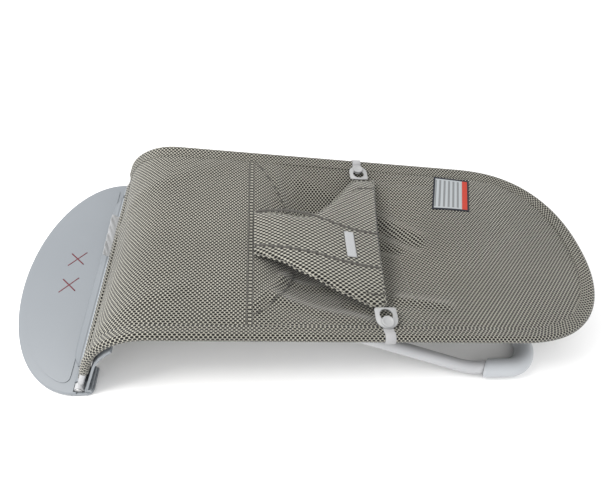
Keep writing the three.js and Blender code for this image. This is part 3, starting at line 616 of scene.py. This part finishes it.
def cloth_rows(stations, edge_z):
    """Rows of the cloth for (rail point, up, half width) stations; it is taut near the height edge_z."""
    rows = []
    for at, up, half in stations:
        slack = min(max((at.z - edge_z) / (45 * MM), 0.12), 1.0)
        rows.append([cloth_point(at, up, half, 2 * j / ACROSS - 1, slack) for j in range(ACROSS + 1)])
    return rows


def sling(name, stations, node):
    rows = cloth_rows(stations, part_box("foot_panel")[0][2])
    start = stations[0][0].x
    run = [0.0]
    for a, b in zip(stations, stations[1:]):
        run.append(run[-1] + (b[0] - a[0]).length)

    def place(i, j):
        return start + run[i], rows[i][j].y

    vertices, faces, uvs = grid(rows, place=place)
    made = piece(name, vertices, faces, SEAT_MESH, "seat", uvs)
    thicken(made, CLOTH)
    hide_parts(node)
    area = 1.03 * sum(
        (run[i + 1] - run[i]) * (stations[i][2] + stations[i + 1][2])
        for i in range(len(stations) - 1))
    return made


def side_stations(x_from, x_to, count):
    up = Vector((SLOPE, 0, 1)).normalized()
    stations = []
    for i in range(count + 1):
        x = x_from + (x_to - x_from) * i / count
        stations.append((Vector((x, 0, rail_z(x))), up, rail_y(x) - WIRE_R - CLOTH_EASE))
    return stations


# ---------------------------------------------------------------- pieces: cloth

def make_slings():
    wire = right_side()
    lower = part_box("foot_panel")[0][2]
    foot = []
    for i, point in enumerate(wire):
        if point.z < lower + 1 * MM or point.x > SEAM_X:
            continue
        _, up = station(wire, i)
        foot.append((Vector((point.x, 0, point.z)), up, point.y - WIRE_R - CLOTH_EASE))
    up = Vector((SLOPE, 0, 1)).normalized()
    foot.append((Vector((SEAM_X, 0, rail_z(SEAM_X))), up, rail_y(SEAM_X) - WIRE_R - CLOTH_EASE))
    sling("foot_sling", foot, "foot_panel")
    sling("seat_sling", side_stations(SEAM_X, BACK_X, 80), "seat_panel")
    back = side_stations(BACK_X, ARCH.x, 30)
    inset = WIRE_R + CLOTH_EASE
    count = 44
    for i in range(1, count + 1):
        turn = math.pi / 2 * (1 - i / (count + 0.8))
        edge = arch_point(turn, inset)
        back.append((Vector((edge.x, 0, edge.z)), up, max(edge.y, 0.004)))
    sling("back_sling", back, "back_panel")


def tunnel_section(tail, lift, outer=WIRE_R + TUNNEL):
    """Cross-section of the cloth round the wire: round outside, flat towards its stitched edge."""
    points = []
    for i in range(19):
        turn = math.radians(-118 + 236 * i / 18)
        points.append((outer * math.cos(turn), outer * math.sin(turn)))
    half = CLOTH / 2 + 0.7 * MM
    points += [(-0.45 * tail, half + 1.6 * MM), (-0.75 * tail, half + 0.5 * MM)]
    points.append((-0.97 * tail, half + lift))
    points += [(-tail, half - 0.5 * MM), (-tail, -half + 0.5 * MM)]
    points += [(-0.97 * tail, -half), (-0.75 * tail, -half - 0.5 * MM), (-0.45 * tail, -half - 1.6 * MM)]
    return points


def tunnel_rows(points, stations, tail):
    section = tunnel_section(tail, 0.1 * MM)
    return [[p + e * a + n * b for a, b in section] for p, (e, n) in zip(points, stations)]


def make_tunnels():
    wire = right_side() + arch_side()
    stations = [station(wire, i) for i in range(len(wire))]
    distance = [0.0]
    for a, b in zip(wire, wire[1:]):
        distance.append(distance[-1] + (b - a).length)
    seam = next(i for i, p in enumerate(wire) if p.x > SEAM_X)
    start = next(i for i, d in enumerate(distance) if d > TUNNEL_START)
    foot_end, seat_start = (
        Vector((x, rail_y(x), rail_z(x))) for x in (SEAM_X - 0.15 * MM, SEAM_X + 0.15 * MM))
    wire[seam:seam] = [foot_end, seat_start]
    stations[seam:seam] = [stations[seam], stations[seam]]
    seam += 1
    for hand, side in SIDES.items():
        rows = tunnel_rows(wire[start:seam], stations[start:seam], TUNNEL_TAIL)
        rows = [[mirror(p, side) for p in row] for row in rows]
        closed_piece(f"foot_tunnel_{hand}", rows, SEAT_MESH, "seat")
    right = tunnel_rows(wire[seam:], stations[seam:], TUNNEL_TAIL)
    left = [[mirror(p, -1) for p in row] for row in reversed(right[:-1])]
    closed_piece("seat_tunnel", right + left, SEAT_MESH, "seat")
    low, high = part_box("foot_crossbar")
    centre = Vector(((low[0] + high[0]) / 2, 0, (low[2] + high[2]) / 2))
    reach = high[1] - 1 * MM
    up = (KNEE - AXLE)
    up.y = 0
    up.normalize()
    out = Vector((-up.z, 0, up.x))
    section = tunnel_section(13 * MM, 0.0, WIRE_R + 1.1 * MM)
    rows = []
    for i in range(41):
        y = -reach + 2 * reach * i / 40
        rows.append([centre + Vector((0, y, 0)) - up * a + out * b for a, b in section])
    closed_piece("foot_edge_tunnel", rows, SEAT_MESH, "seat")


def cord_on_cloth(name, points, radius, finish=BINDING):
    """A thin sewn ridge through (x, y) points in millimetres behind the plate's front edge."""
    path = []
    for (x0, y0), (x1, y1) in zip(points, points[1:]):
        count = max(2, int(math.hypot(x1 - x0, y1 - y0) / 4))
        for k in range(count + (1 if (x1, y1) == points[-1] else 0)):
            x = FRONT + (x0 + (x1 - x0) * k / count) * MM
            y = (y0 + (y1 - y0) * k / count) * MM
            path.append(Vector((x, y, cloth_z(x, y) + CLOTH / 2 + radius * 0.35)))
    return closed_piece(name, rod_rows(path, radius, 8, 0.0002), finish, "seat")


def make_seams():
    seam = (SEAM_X - FRONT) / MM
    width = 161
    for i, offset in enumerate((-3.4, 3.4)):
        count = 60
        line = [(seam + offset, -width + 2 * width * k / count) for k in range(count + 1)]
        cord_on_cloth(f"crotch_seam_{i + 1}", line, 0.6 * MM)
    cord_on_cloth("gusset_seam_right", [(344, 156), (356, 140), (376, 108), (392, 72), (400, 45)], 0.9 * MM)
    left = [(344, -138), (360, -128), (382, -98), (396, -72), (402, -48)]
    cord_on_cloth("gusset_seam_left", left, 0.9 * MM)


# ---------------------------------------------------------------- pieces: harness

# The pad as it lies: its right and left edges as (x, y), millimetres behind the plate's front edge
HARNESS_RIGHT = [(344, 43.6), (368, 36), (390, 29), (405, 25.5), (419, 25), (435, 30), (452, 45.5), (462, 57),
                 (471, 68), (485, 87), (498, 108), (509, 121), (526, 127), (544, 127)]
HARNESS_LEFT = [(344, -38), (370, -50), (387, -59), (400, -69), (416, -78.5), (430, -87),
                (443, -95), (453, -100.5),
                (466, -107), (480, -113), (492, -118.5), (503, -123), (514, -124), (522, -120)]
HARNESS_TAPES = {"right": [(346, 41), (380, 37), (414, 31), (445, 21), (473, 11), (500, 5), (529, 1)],
                 "left": [(345, -25), (378, -33), (410, -41), (438, -48), (466, -55), (493, -59), (522, -62)]}
HARNESS_ARCH = [(343, -1.0), (365, 6.0), (395, 12.5), (430, 15.0), (470, 12.0), (500, 8.5), (545, 6.5)]
HARNESS_THICK = 5 * MM
HARNESS_DROP = 4 * MM
HARNESS_HALF = 125 * MM
clip_low, clip_high = (Vector(corner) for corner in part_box("harness_clip_right"))
CLIP_Z = (clip_low.z + clip_high.z) / 2
CLIP_X = (clip_low.x + clip_high.x) / 2
CLIP_THICK = clip_high.z - clip_low.z
button_low, button_high = (Vector(corner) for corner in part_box("harness_button_right"))
BUTTON = (button_low + button_high) / 2
BUTTON_TRAVEL = 11 * MM      # from the slot to the middle of the keyhole


def through(points, t):
    """A smooth curve through (x, y) points, in metres from the plate's front edge; t runs 0 to 1."""
    place = min(max(t, 0.0), 1.0) * (len(points) - 1)
    i = min(int(place), len(points) - 2)
    u = place - i
    before, start, end, after = (Vector(points[min(max(i + k, 0), len(points) - 1)]) for k in (-1, 0, 1, 2))
    curve = 0.5 * (2 * start + (end - before) * u + (2 * before - 5 * start + 4 * end - after) * u * u
                   + (3 * start - before - 3 * end + after) * u ** 3)
    return Vector((FRONT + curve.x * MM, curve.y * MM))


def harness_z(x, y):
    """Middle of the harness pad: it is sewn in at the crotch, arches over the child and rests at its tips."""
    place = (x - FRONT) / MM
    rise = HARNESS_ARCH[-1][1]
    for (x0, z0), (x1, z1) in zip(HARNESS_ARCH, HARNESS_ARCH[1:]):
        if place < x1:
            t = max((place - x0) / (x1 - x0), 0.0)
            rise = z0 + (z1 - z0) * t * t * (3 - 2 * t) * 0.5 + (z1 - z0) * t * 0.5
            break
    return rail_z(x) + rise * MM - HARNESS_DROP * (y / HARNESS_HALF) ** 2


def harness_row(t):
    """(left edge, right edge) of the pad at t, 0 at the crotch seam and 1 at the waist."""
    return through(HARNESS_LEFT, t), through(HARNESS_RIGHT, t)


def make_harness():
    columns = 48
    steps = 52
    rows = []
    for i in range(steps + 1):
        left, right = harness_row(i / steps)
        top = []
        bottom = []
        for j in range(columns + 1):
            t = j / columns
            at = left.lerp(right, t)
            bow = 4 * MM * math.sin(math.pi * t) * (i / steps) ** 4
            side = abs(2 * t - 1)
            puff = (1 - side ** 12) * HARNESS_THICK / 2 * 0.95 + 0.15 * MM
            curl = 2.2 * MM * side ** 14
            middle = Vector((at.x - bow, at.y, harness_z(at.x, at.y) - curl))
            top.append(middle + Vector((0, 0, puff)))
            bottom.append(middle - Vector((0, 0, puff)))
        rows.append(bottom + top[::-1])

    def place(i, j):
        point = rows[i][j % (2 * columns + 2)]
        return point.x, point.y

    pad = closed_piece("harness_pad", rows, HARNESS_MESH, "seat", place)
    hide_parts("harness_panel")
    for hand, line in HARNESS_TAPES.items():
        section = []
        count = 60
        for i in range(count + 1):
            at = through(line, i / count)
            z = harness_z(at.x, at.y) + HARNESS_THICK / 2 - 0.1 * MM
            section.append([Vector((at.x, at.y + a, z + b)) for a, b in ribbon(4.0 * MM, 0.9 * MM)])
        closed_piece(f"harness_tape_{hand}", section, BINDING, "seat")
    make_binding()
    make_tip_seam()
    make_tag()


def ribbon(width, thickness):
    """Cross-section of a flat tape with rounded edges, lying on z = 0."""
    half = width / 2
    return [(-half, -0.2 * MM), (-half, thickness * 0.5), (-half * 0.75, thickness), (half * 0.75, thickness),
            (half, thickness * 0.5), (half, -0.2 * MM)]


def make_binding():
    """A thin rolled edge round the harness pad."""
    count = 60
    edges = {"right": HARNESS_RIGHT, "left": HARNESS_LEFT}
    for hand, line in edges.items():
        path = []
        for i in range(count + 1):
            at = through(line, i / count)
            path.append(Vector((at.x, at.y, harness_z(at.x, at.y) - 1.6 * MM)))
        rows = rod_rows(path, 1.5 * MM, 10)
        closed_piece(f"harness_edge_{hand}", rows, HARNESS_MESH, "seat")
    left, right = harness_row(1.0)
    waist = []
    for j in range(41):
        t = j / 40
        at = left.lerp(right, t)
        x = at.x - 4 * MM * math.sin(math.pi * t)
        waist.append(Vector((x, at.y, harness_z(x, at.y) - 0.4 * MM)))
    closed_piece("harness_edge_waist", rod_rows(waist, 1.9 * MM, 10), HARNESS_MESH, "seat")


def make_tip_seam():
    """The folded and stitched band across each tip of the pad."""
    for hand, share in (("right", 0.9), ("left", 0.07)):
        path = []
        for i in range(9):
            left, right = harness_row(0.8 + 0.19 * i / 8)
            at = left.lerp(right, share)
            path.append(Vector((at.x, at.y, harness_z(at.x, at.y) + HARNESS_THICK / 2)))
        rows = rod_rows(path, 0.9 * MM, 8, 0.0002)
        closed_piece(f"harness_tip_seam_{hand}", rows, BINDING, "seat")


def make_tag():
    """The small blank tag sewn on the harness."""
    rows = []
    for i in range(9):
        x = FRONT + (476 + 14 * i / 8) * MM
        row = []
        for j in range(17):
            y = (-48 + 46 * j / 16) * MM
            curl = 0.5 * MM * math.cos(math.pi * j / 16) ** 2
            row.append(Vector((x, y, harness_z(x, y) + HARNESS_THICK / 2 + 0.9 * MM + curl)))
        rows.append(row)
    vertices, faces, uvs = grid(rows)
    made = piece("tag_on_harness", vertices, faces, TAG_CLOTH, "seat", uvs)
    thicken(made, 0.7 * MM)
    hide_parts("harness_tag")


def clip_outline(inset, count=64):
    """The clip's outline: flat towards the harness, round towards the rail."""
    half = (clip_high.x - clip_low.x) / 2 - inset
    inner = clip_low.y + inset
    outer = clip_high.y - inset
    radius = 14.5 * MM - inset
    corner = 3 * MM
    points = []
    per = count // 4
    for centre, r, start in (
            (Vector((CLIP_X + half - corner, inner + corner, 0)), corner, -90),
            (Vector((CLIP_X + half - radius, outer - radius, 0)), radius, 0),
            (Vector((CLIP_X - half + radius, outer - radius, 0)), radius, 90),
            (Vector((CLIP_X - half + corner, inner + corner, 0)), corner, 180)):
        for k in range(per):
            turn = math.radians(start + 90 * k / (per - 1))
            points.append(centre + Vector((r * math.cos(turn), r * math.sin(turn), 0)))
    return points


def keyhole_outline(grow, count=64):
    """The keyhole, point for point with the clip's outline, seen from its middle."""
    wide = 9 * MM + grow
    narrow = 4.3 * MM + grow
    middle = Vector((CLIP_X, BUTTON.y - BUTTON_TRAVEL, 0))
    slot_end = BUTTON.y
    points = []
    per = count // 4
    for start in (-90, 0, 90, 180):
        for k in range(per):
            turn = math.radians(start + 90 * k / (per - 1))
            way = Vector((math.cos(turn), math.sin(turn), 0))
            point = middle + way * wide
            if way.y > 0 and abs(way.x * wide) < narrow:
                off = way.x * wide
                point = Vector((CLIP_X + off, slot_end + math.sqrt(narrow ** 2 - off ** 2), 0))
            points.append(point)
    return points


def make_clips():
    half = CLIP_THICK / 2
    layers = [
        (clip_outline(0.6 * MM), -half), (clip_outline(0.0), -half + 0.6 * MM),
        (clip_outline(0.0), half - 0.6 * MM), (clip_outline(0.6 * MM), half),
        (keyhole_outline(1.6 * MM), half), (keyhole_outline(0.9 * MM), half + 0.7 * MM),
        (keyhole_outline(0.3 * MM), half + 0.5 * MM), (keyhole_outline(0.0), half - 0.4 * MM),
        (keyhole_outline(0.0), -half + 0.5 * MM), (keyhole_outline(0.5 * MM), -half)]
    for hand, side in SIDES.items():
        rows = [[Vector((p.x, p.y * side, CLIP_Z + z)) for p in outline] for outline, z in layers]
        vertices, faces, uvs = grid(rows + [rows[0]], closed=True)
        made = piece(f"clip_plate_{hand}", vertices, faces, NYLON, "seat", uvs)
        weld(made)
        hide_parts(f"harness_clip_{hand}")


def weld(made):
    """Joins vertices in one place and turns the faces outward."""
    work = bmesh.new()
    work.from_mesh(made.data)
    bmesh.ops.remove_doubles(work, verts=work.verts, dist=1e-6)
    bmesh.ops.recalc_face_normals(work, faces=work.faces)
    work.to_mesh(made.data)
    work.free()


def turned(name, profile, centre, axis, finish, body, count=48):
    """A lathe piece: profile is (radius, height) pairs along axis, starting and ending at radius 0."""
    axis = axis.normalized()
    e = axis.orthogonal().normalized()
    n = axis.cross(e)
    rows = [ring(centre + axis * h, e, n, max(r, 1e-5), count) for r, h in profile]
    made = closed_piece(name, rows, finish, body)
    return made


def make_buttons():
    low = button_low.z
    head = CLIP_Z + CLIP_THICK / 2 + 0.3 * MM
    profile = [(0, low), (6.2 * MM, low), (6.8 * MM, low + 0.5 * MM), (6.8 * MM, low + 1.1 * MM),
               (6.2 * MM, low + 1.6 * MM), (3.8 * MM, low + 1.6 * MM), (3.8 * MM, head), (7.6 * MM, head),
               (8.4 * MM, head + 0.5 * MM), (8.5 * MM, head + 1.5 * MM), (7.9 * MM, head + 2.2 * MM),
               (7.0 * MM, head + 2.4 * MM), (6.2 * MM, head + 2.2 * MM), (5.6 * MM, head + 1.5 * MM),
               (3.0 * MM, head + 1.2 * MM), (0, head + 1.1 * MM)]
    for hand, side in SIDES.items():
        centre = Vector((BUTTON.x, BUTTON.y * side, 0))
        body = f"button_{hand}"
        made = turned(f"{body}_knob", profile, centre, Vector((0, 0, 1)), NYLON, body)
        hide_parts(f"harness_button_{hand}")


def make_straps():
    """Webbing from under the button, over the rail's tunnel and down its outer side."""
    width = 14 * MM
    thick = 1.4 * MM
    wire = Vector((CLIP_X, rail_y(CLIP_X), rail_z(CLIP_X)))
    inside = WIRE_R + TUNNEL + 0.8 * MM
    start = BUTTON.y + 7.1 * MM
    for hand, side in SIDES.items():
        centre_line = [Vector((0, start, button_low.z + thick / 2))]
        turns = [math.radians(150 - 170 * i / 24) for i in range(25)]
        reach = inside + thick / 2
        over = [Vector((0, wire.y + reach * math.cos(t), wire.z + reach * math.sin(t))) for t in turns]
        for k in range(1, 6):
            rise = Vector((0, 0, 0.3 * MM * math.sin(math.pi * k / 6)))
            centre_line.append(centre_line[0].lerp(over[0], k / 6) + rise)
        centre_line += over
        rows = []
        for i, point in enumerate(centre_line):
            ahead = centre_line[min(i + 1, len(centre_line) - 1)] - centre_line[max(i - 1, 0)]
            ahead.normalize()
            n = Vector((0, -ahead.z, ahead.y))
            row = []
            for a, b in ((-0.5, -0.3), (-0.47, -0.5), (0.47, -0.5), (0.5, -0.3),
                         (0.5, 0.3), (0.47, 0.5), (-0.47, 0.5), (-0.5, 0.3)):
                p = point + n * (b * thick)
                row.append(Vector((CLIP_X + a * width, p.y * side, p.z)))
            rows.append(row)
        made = closed_piece(f"strap_{hand}", rows, WEBBING, None)
        at_rail, at_button = (
            (CLIP_X, y * side, button_low.z) for y in (wire.y - inside - 1 * MM, start + 0.5 * MM))
        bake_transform(made)
        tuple(at_rail)
        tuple(at_button)
        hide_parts(f"belt_strap_{hand}")


# ---------------------------------------------------------------- pieces: labels

def make_labels():
    low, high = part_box("back_label")
    width, length = high[0] - low[0], high[1] - low[1]
    rows = []
    for i in range(25):
        row = []
        for j in range(25):
            across = j / 24
            x = low[0] + width * (0.96 * i / 24 - 0.12 + 0.28 * across)
            y = low[1] + length * (across * 0.97 - 0.06 * i / 24 + 0.02)
            row.append(Vector((x, y, cloth_z(x, y) + CLOTH / 2 + 0.9 * MM)))
        rows.append(row)
    vertices, faces, uvs = grid(rows, place=lambda i, j: (i / 24, j / 24))
    made = piece("label_on_back", vertices, faces, BACK_LABEL, "seat", uvs)
    thicken(made, 0.6 * MM)
    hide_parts("back_label")

    low, high = (Vector(corner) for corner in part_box("care_tag"))
    rows = []
    for i in range(13):
        t = i / 12
        row = []
        for j in range(61):
            s = j / 60
            y = low.y + (high.y - low.y) * s
            ripple = 0.9 * MM * math.sin(9 * s + 3 * t) * (1 - t)
            ripple += 0.7 * MM * math.sin(31 * s + 8 * t) * (1 - t)
            taper = 1 - 0.35 * max(0.0, 0.5 - s) * (1 - t)
            x = high.x - (high.x - low.x) * (1 - t) * taper
            z = low.z + (high.z - low.z) * (1 - t) + ripple
            row.append(Vector((x, y, z)))
        rows.append(row)
    vertices, faces, uvs = grid(rows)
    made = piece("care_tag_cloth", vertices, faces, TAG_CLOTH, "seat", uvs)
    thicken(made, 0.5 * MM)
    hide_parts("care_tag")


# ---------------------------------------------------------------- pieces: wires and leg

def make_wires():
    wire = right_side()
    keep = [p for p in wire if (p - AXLE).length > 7.2 * MM]
    for hand, side in SIDES.items():
        path = [mirror(p, side) for p in keep]
        made = closed_piece(f"side_wire_{hand}", rod_rows(path, WIRE_R, 24), PAINT, "seat")
        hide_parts(f"side_rail_{hand}")
    right = arch_side()
    path = right + [mirror(p, -1) for p in reversed(right[:-1])]
    made = closed_piece("head_wire", rod_rows(path, WIRE_R, 24), PAINT, "seat")
    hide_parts("head_rail")
    low, high = (Vector(corner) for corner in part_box("foot_crossbar"))
    centre = (low + high) / 2
    path = [Vector((centre.x, low.y + (high.y - low.y) * i / 30, centre.z)) for i in range(31)]
    made = closed_piece("foot_wire", rod_rows(path, WIRE_R, 24), PAINT, "seat")
    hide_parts("foot_crossbar")


def make_leg():
    foot = Vector((REAR_X, LEG_Y, SLEEVE_R))
    mouth = REAR_X - SLEEVE_ALONG
    tube_z = foot.z + TUBE_LIFT
    corner = Vector((mouth - SLEEVE_R - SLEEVE_LEAD, LEG_Y, tube_z))
    direction = (corner - PIVOT_LEG).normalized()
    start = PIVOT_LEG + direction * (12.5 * MM)
    end = Vector((mouth + 20 * MM, LEG_Y, tube_z))
    for hand, side in SIDES.items():
        path = [mirror(p, side) for p in bent([start, corner, end], [LEG_BEND_RADIUS])]
        made = closed_piece(f"leg_bar_{hand}", rod_rows(path, TUBE_R, 40), PAINT, "leg")
        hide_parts(f"leg_tube_{hand}")
        make_sleeve(hand, side, foot, mouth)
    low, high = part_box("rear_tube")
    path = [Vector((REAR_X, low[1] + (high[1] - low[1]) * i / 30, tube_z)) for i in range(31)]
    made = closed_piece("rear_bar", rod_rows(path, TUBE_R, 40), PAINT, "leg")
    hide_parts("rear_tube")


LEG_PIVOT_Y = 138 * MM
PIVOT_LEG = Vector((PIVOT.x, LEG_PIVOT_Y, PIVOT.z))


def make_sleeve(hand, side, foot, mouth):
    """The moulded elbow, with a slanted mouth round the leg tube."""
    path = bent([Vector((mouth, LEG_Y, foot.z)), foot, Vector((foot.x, LEG_Y - SLEEVE_ACROSS, foot.z))],
                [SLEEVE_BEND], 0.004, math.radians(3))
    count = 56
    pairs = frames_along(path)
    socket = TUBE_R + 0.25 * MM
    lift = Vector((0, 0, TUBE_LIFT))

    def slanted(points, amount=1.0):
        """Lean the mouth's rings over: top and outer side forward."""
        return [p - Vector(((p.z - foot.z) * SLEEVE_LEAN + (p.y - LEG_Y) * SLEEVE_TURN, 0, 0)) * amount
                for p in points]

    into = Vector((1, 0, 0))
    rows = [
        slanted(ring(path[0] + lift + into * 9 * MM, *pairs[0], socket, count)),
        slanted(ring(path[0] + lift + into * 0.8 * MM, *pairs[0], socket, count)),
        slanted(ring(path[0] + lift * 0.8, *pairs[0], socket + 0.7 * MM, count)),
        slanted(ring(path[0] + lift * 0.1, *pairs[0], SLEEVE_R - 1.4 * MM, count)),
        slanted(ring(path[0] + into * 0.3 * MM, *pairs[0], SLEEVE_R - 0.5 * MM, count)),
        slanted(ring(path[0] + into * 1.4 * MM, *pairs[0], SLEEVE_R, count)),
    ]
    for point, pair in list(zip(path, pairs))[1:-1]:
        points = ring(point, *pair, SLEEVE_R, count)
        reach = (point.x - mouth) / (30 * MM)
        if point.y > LEG_Y - 1e-6 and reach < 1.0:
            points = slanted(points, 1 - reach)
        rows.append(points)
    end, (e, n) = path[-1], pairs[-1]
    rows.append(ring(end, e, n, SLEEVE_R - 0.4 * MM, count))
    rows.append(ring(end - Vector((0, 0.4 * MM, 0)) + lift * 0.1, e, n, SLEEVE_R - 1.2 * MM, count))
    rows.append(ring(end - Vector((0, 0.4 * MM, 0)) + lift * 0.9, e, n, socket + 0.5 * MM, count))
    rows.append(ring(end + lift + Vector((0, 8 * MM, 0)), e, n, socket, count))
    rows = [[Vector((p.x, p.y * side, max(p.z, SOLE_TOP))) for p in row] for row in rows]
    made = closed_piece(f"sleeve_elbow_{hand}", rows, SLEEVE, "leg")
    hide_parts(f"corner_sleeve_{hand}")


# ---------------------------------------------------------------- pieces: plate

def make_crosses():
    """Two thin crosses printed on the plate."""
    top = PLATE_TOP + 0.12 * MM
    for k, (x, y) in enumerate(((67, 24), (66, -25.5))):
        centre = Vector((FRONT + x * MM, y * MM, top))
        for arm, way in enumerate((Vector((0.66, 0.75, 0)), Vector((0.72, -0.69, 0)))):
            way = way.normalized()
            wide = Vector((-way.y, way.x, 0)) * 0.9 * MM
            half = 17.5 * MM * (1.0 if arm == 0 else 0.88)
            lift = Vector((0, 0, 0.08 * MM * arm))
            rows = []
            for i in range(9):
                p = centre + way * (half * (i / 4 - 1)) + lift
                up = Vector((0, 0, 0.14 * MM))
                rows.append([p - wide, p - wide * 0.6 + up, p + wide * 0.6 + up, p + wide, p - up])
            closed_piece(f"plate_cross_{k + 1}_{arm + 1}", rows, RED, "base")


PLATE_TOP = 10.1 * MM
PLATE_REAR = FRONT + 116 * MM
LIP_TOP = 13 * MM
LIP_HALF = 157 * MM


def make_plate_edge():
    """The sweep from the top panel up to the rear lip, and the bead along the lip, coloured lighter than the
    plate as a painted highlight on the lip's edge.
    """
    section = [(-15, 0.05), (-12, 0.45), (-9, 1.3), (-6.6, 2.4), (-5.2, 2.9), (-4, 3.0),
               (-4, -1.5), (-15, -1.5)]
    rows = []
    steps = 40
    for i in range(steps + 1):
        t = 2 * i / steps - 1
        ease = 1 - abs(t) ** 16
        rows.append([Vector((PLATE_REAR + (x if x > -6 else -6 + (x + 6) * ease) * MM, LIP_HALF * t,
                             PLATE_TOP + z * MM)) for x, z in section])
    closed_piece("plate_sweep", rows, PLATE, "base")
    # painted highlight: the bead carries the lighter plate colour for the light line on the lip
    bead = [Vector((PLATE_REAR - 1.1 * MM, LIP_HALF * (2 * i / steps - 1), LIP_TOP))
            for i in range(steps + 1)]
    closed_piece("plate_bead_painted_highlight", rod_rows(bead, 1.0 * MM, 14, 0.0005), PLATE_BEAD_HIGHLIGHT, "base")


def dress_frame():
    """Gives the CAD nodes that stay their finishes and rounds their edges."""
    finishes = {"plate": PLATE, "frame": PAINT, "steel": ZINC, "nylon": NYLON, "rubber": RUBBER,
                "seat_mesh": SEAT_MESH, "harness_mesh": HARNESS_MESH, "webbing": WEBBING, "label": TAG_CLOTH}
    edges = {"base_plate": 1.0, "shin_guard": 1.0, "latch_grip": 0.7, "leg_head": 0.5, "leg_mount": 0.5}
    for part in frame["record"]["subparts"]:
        node = frame["nodes"][part["node"]]
        finish = finishes[part["material_slot"]]
        node.data.polygons.foreach_set("use_smooth", [True] * len(node.data.polygons))
        if not node.material_slots:
            node.data.materials.append(finish)
        for place in node.material_slots:
            place.material = finish
        width = next((w for name, w in edges.items() if part["node"].startswith(name)), 0.3)
        soften(node, width * MM, 30.0, 2)
        modifier = node.modifiers.new("facets", "EDGE_SPLIT")
        modifier.split_angle = math.radians(32)


# ---------------------------------------------------------------- light and camera

def make_camera():
    """Looks down on the folded seat from its left side."""
    pitch, yaw, roll = 0.8775, 0.1806, 0.1484
    forward = Vector((math.sin(yaw) * math.cos(pitch), math.cos(yaw) * math.cos(pitch), -math.sin(pitch)))
    level = Vector((math.cos(yaw), -math.sin(yaw), 0))
    above = level.cross(forward)
    right = level * math.cos(roll) + above * math.sin(roll)
    up = above * math.cos(roll) - level * math.sin(roll)
    data = bpy.data.cameras.new("camera")
    data.sensor_width = 36.0
    data.lens = 26.98
    data.clip_end = 20.0
    made = bpy.data.objects.new("camera", data)
    place = Matrix((
        (right.x, up.x, -forward.x, FRONT + 0.34508),
        (right.y, up.y, -forward.y, -0.44189),
        (right.z, up.z, -forward.z, 0.62153),
        (0, 0, 0, 1)))
    made.matrix_world = place
    bpy.context.collection.objects.link(made)
    bpy.context.scene.camera = made


def area_light(name, place, aim, size, power, tint=(1, 1, 1)):
    data = bpy.data.lights.new(name, "AREA")
    data.shape = "DISK"
    data.size = size
    data.energy = power
    data.color = tint
    made = bpy.data.objects.new(name, data)
    made.location = place
    made.rotation_euler = (Vector(aim) - Vector(place)).to_track_quat("-Z", "Y").to_euler()
    bpy.context.collection.objects.link(made)


def make_studio():
    floor_finish = Finish("floor", base_color=(0.9, 0.9, 0.9, 1), roughness=0.9, specular_ior_level=0.1)
    half = 6.0
    data = bpy.data.meshes.new("floor")
    corners = [(-half, -half, 0), (half, -half, 0), (half, half, 0), (-half, half, 0)]
    data.from_pydata(corners, [], [(0, 1, 2, 3)])
    data.materials.append(floor_finish.material)
    floor = bpy.data.objects.new("floor", data)
    bpy.context.collection.objects.link(floor)
    world = bpy.data.worlds.new("studio")
    world.use_nodes = True
    sky = world.node_tree.nodes["Background"]
    sky.inputs["Color"].default_value = (1.0, 1.0, 1.0, 1)
    sky.inputs["Strength"].default_value = 1.2
    bpy.context.scene.world = world
    area_light("key", (-0.8, -0.1, 1.05), (-0.1, 0, 0), 0.6, 15, (1.0, 0.99, 0.97))
    area_light("low_fill", (0.3, -1.9, 0.7), (0.1, 0, 0), 1.6, 9, (0.97, 0.98, 1.0))
    bpy.context.scene.view_settings.view_transform = "Standard"


make_camera()
make_studio()
dress_frame()
make_slings()
make_tunnels()
make_seams()
make_harness()
make_clips()
make_buttons()
make_straps()
make_labels()
make_wires()
make_leg()
make_crosses()
make_plate_edge()
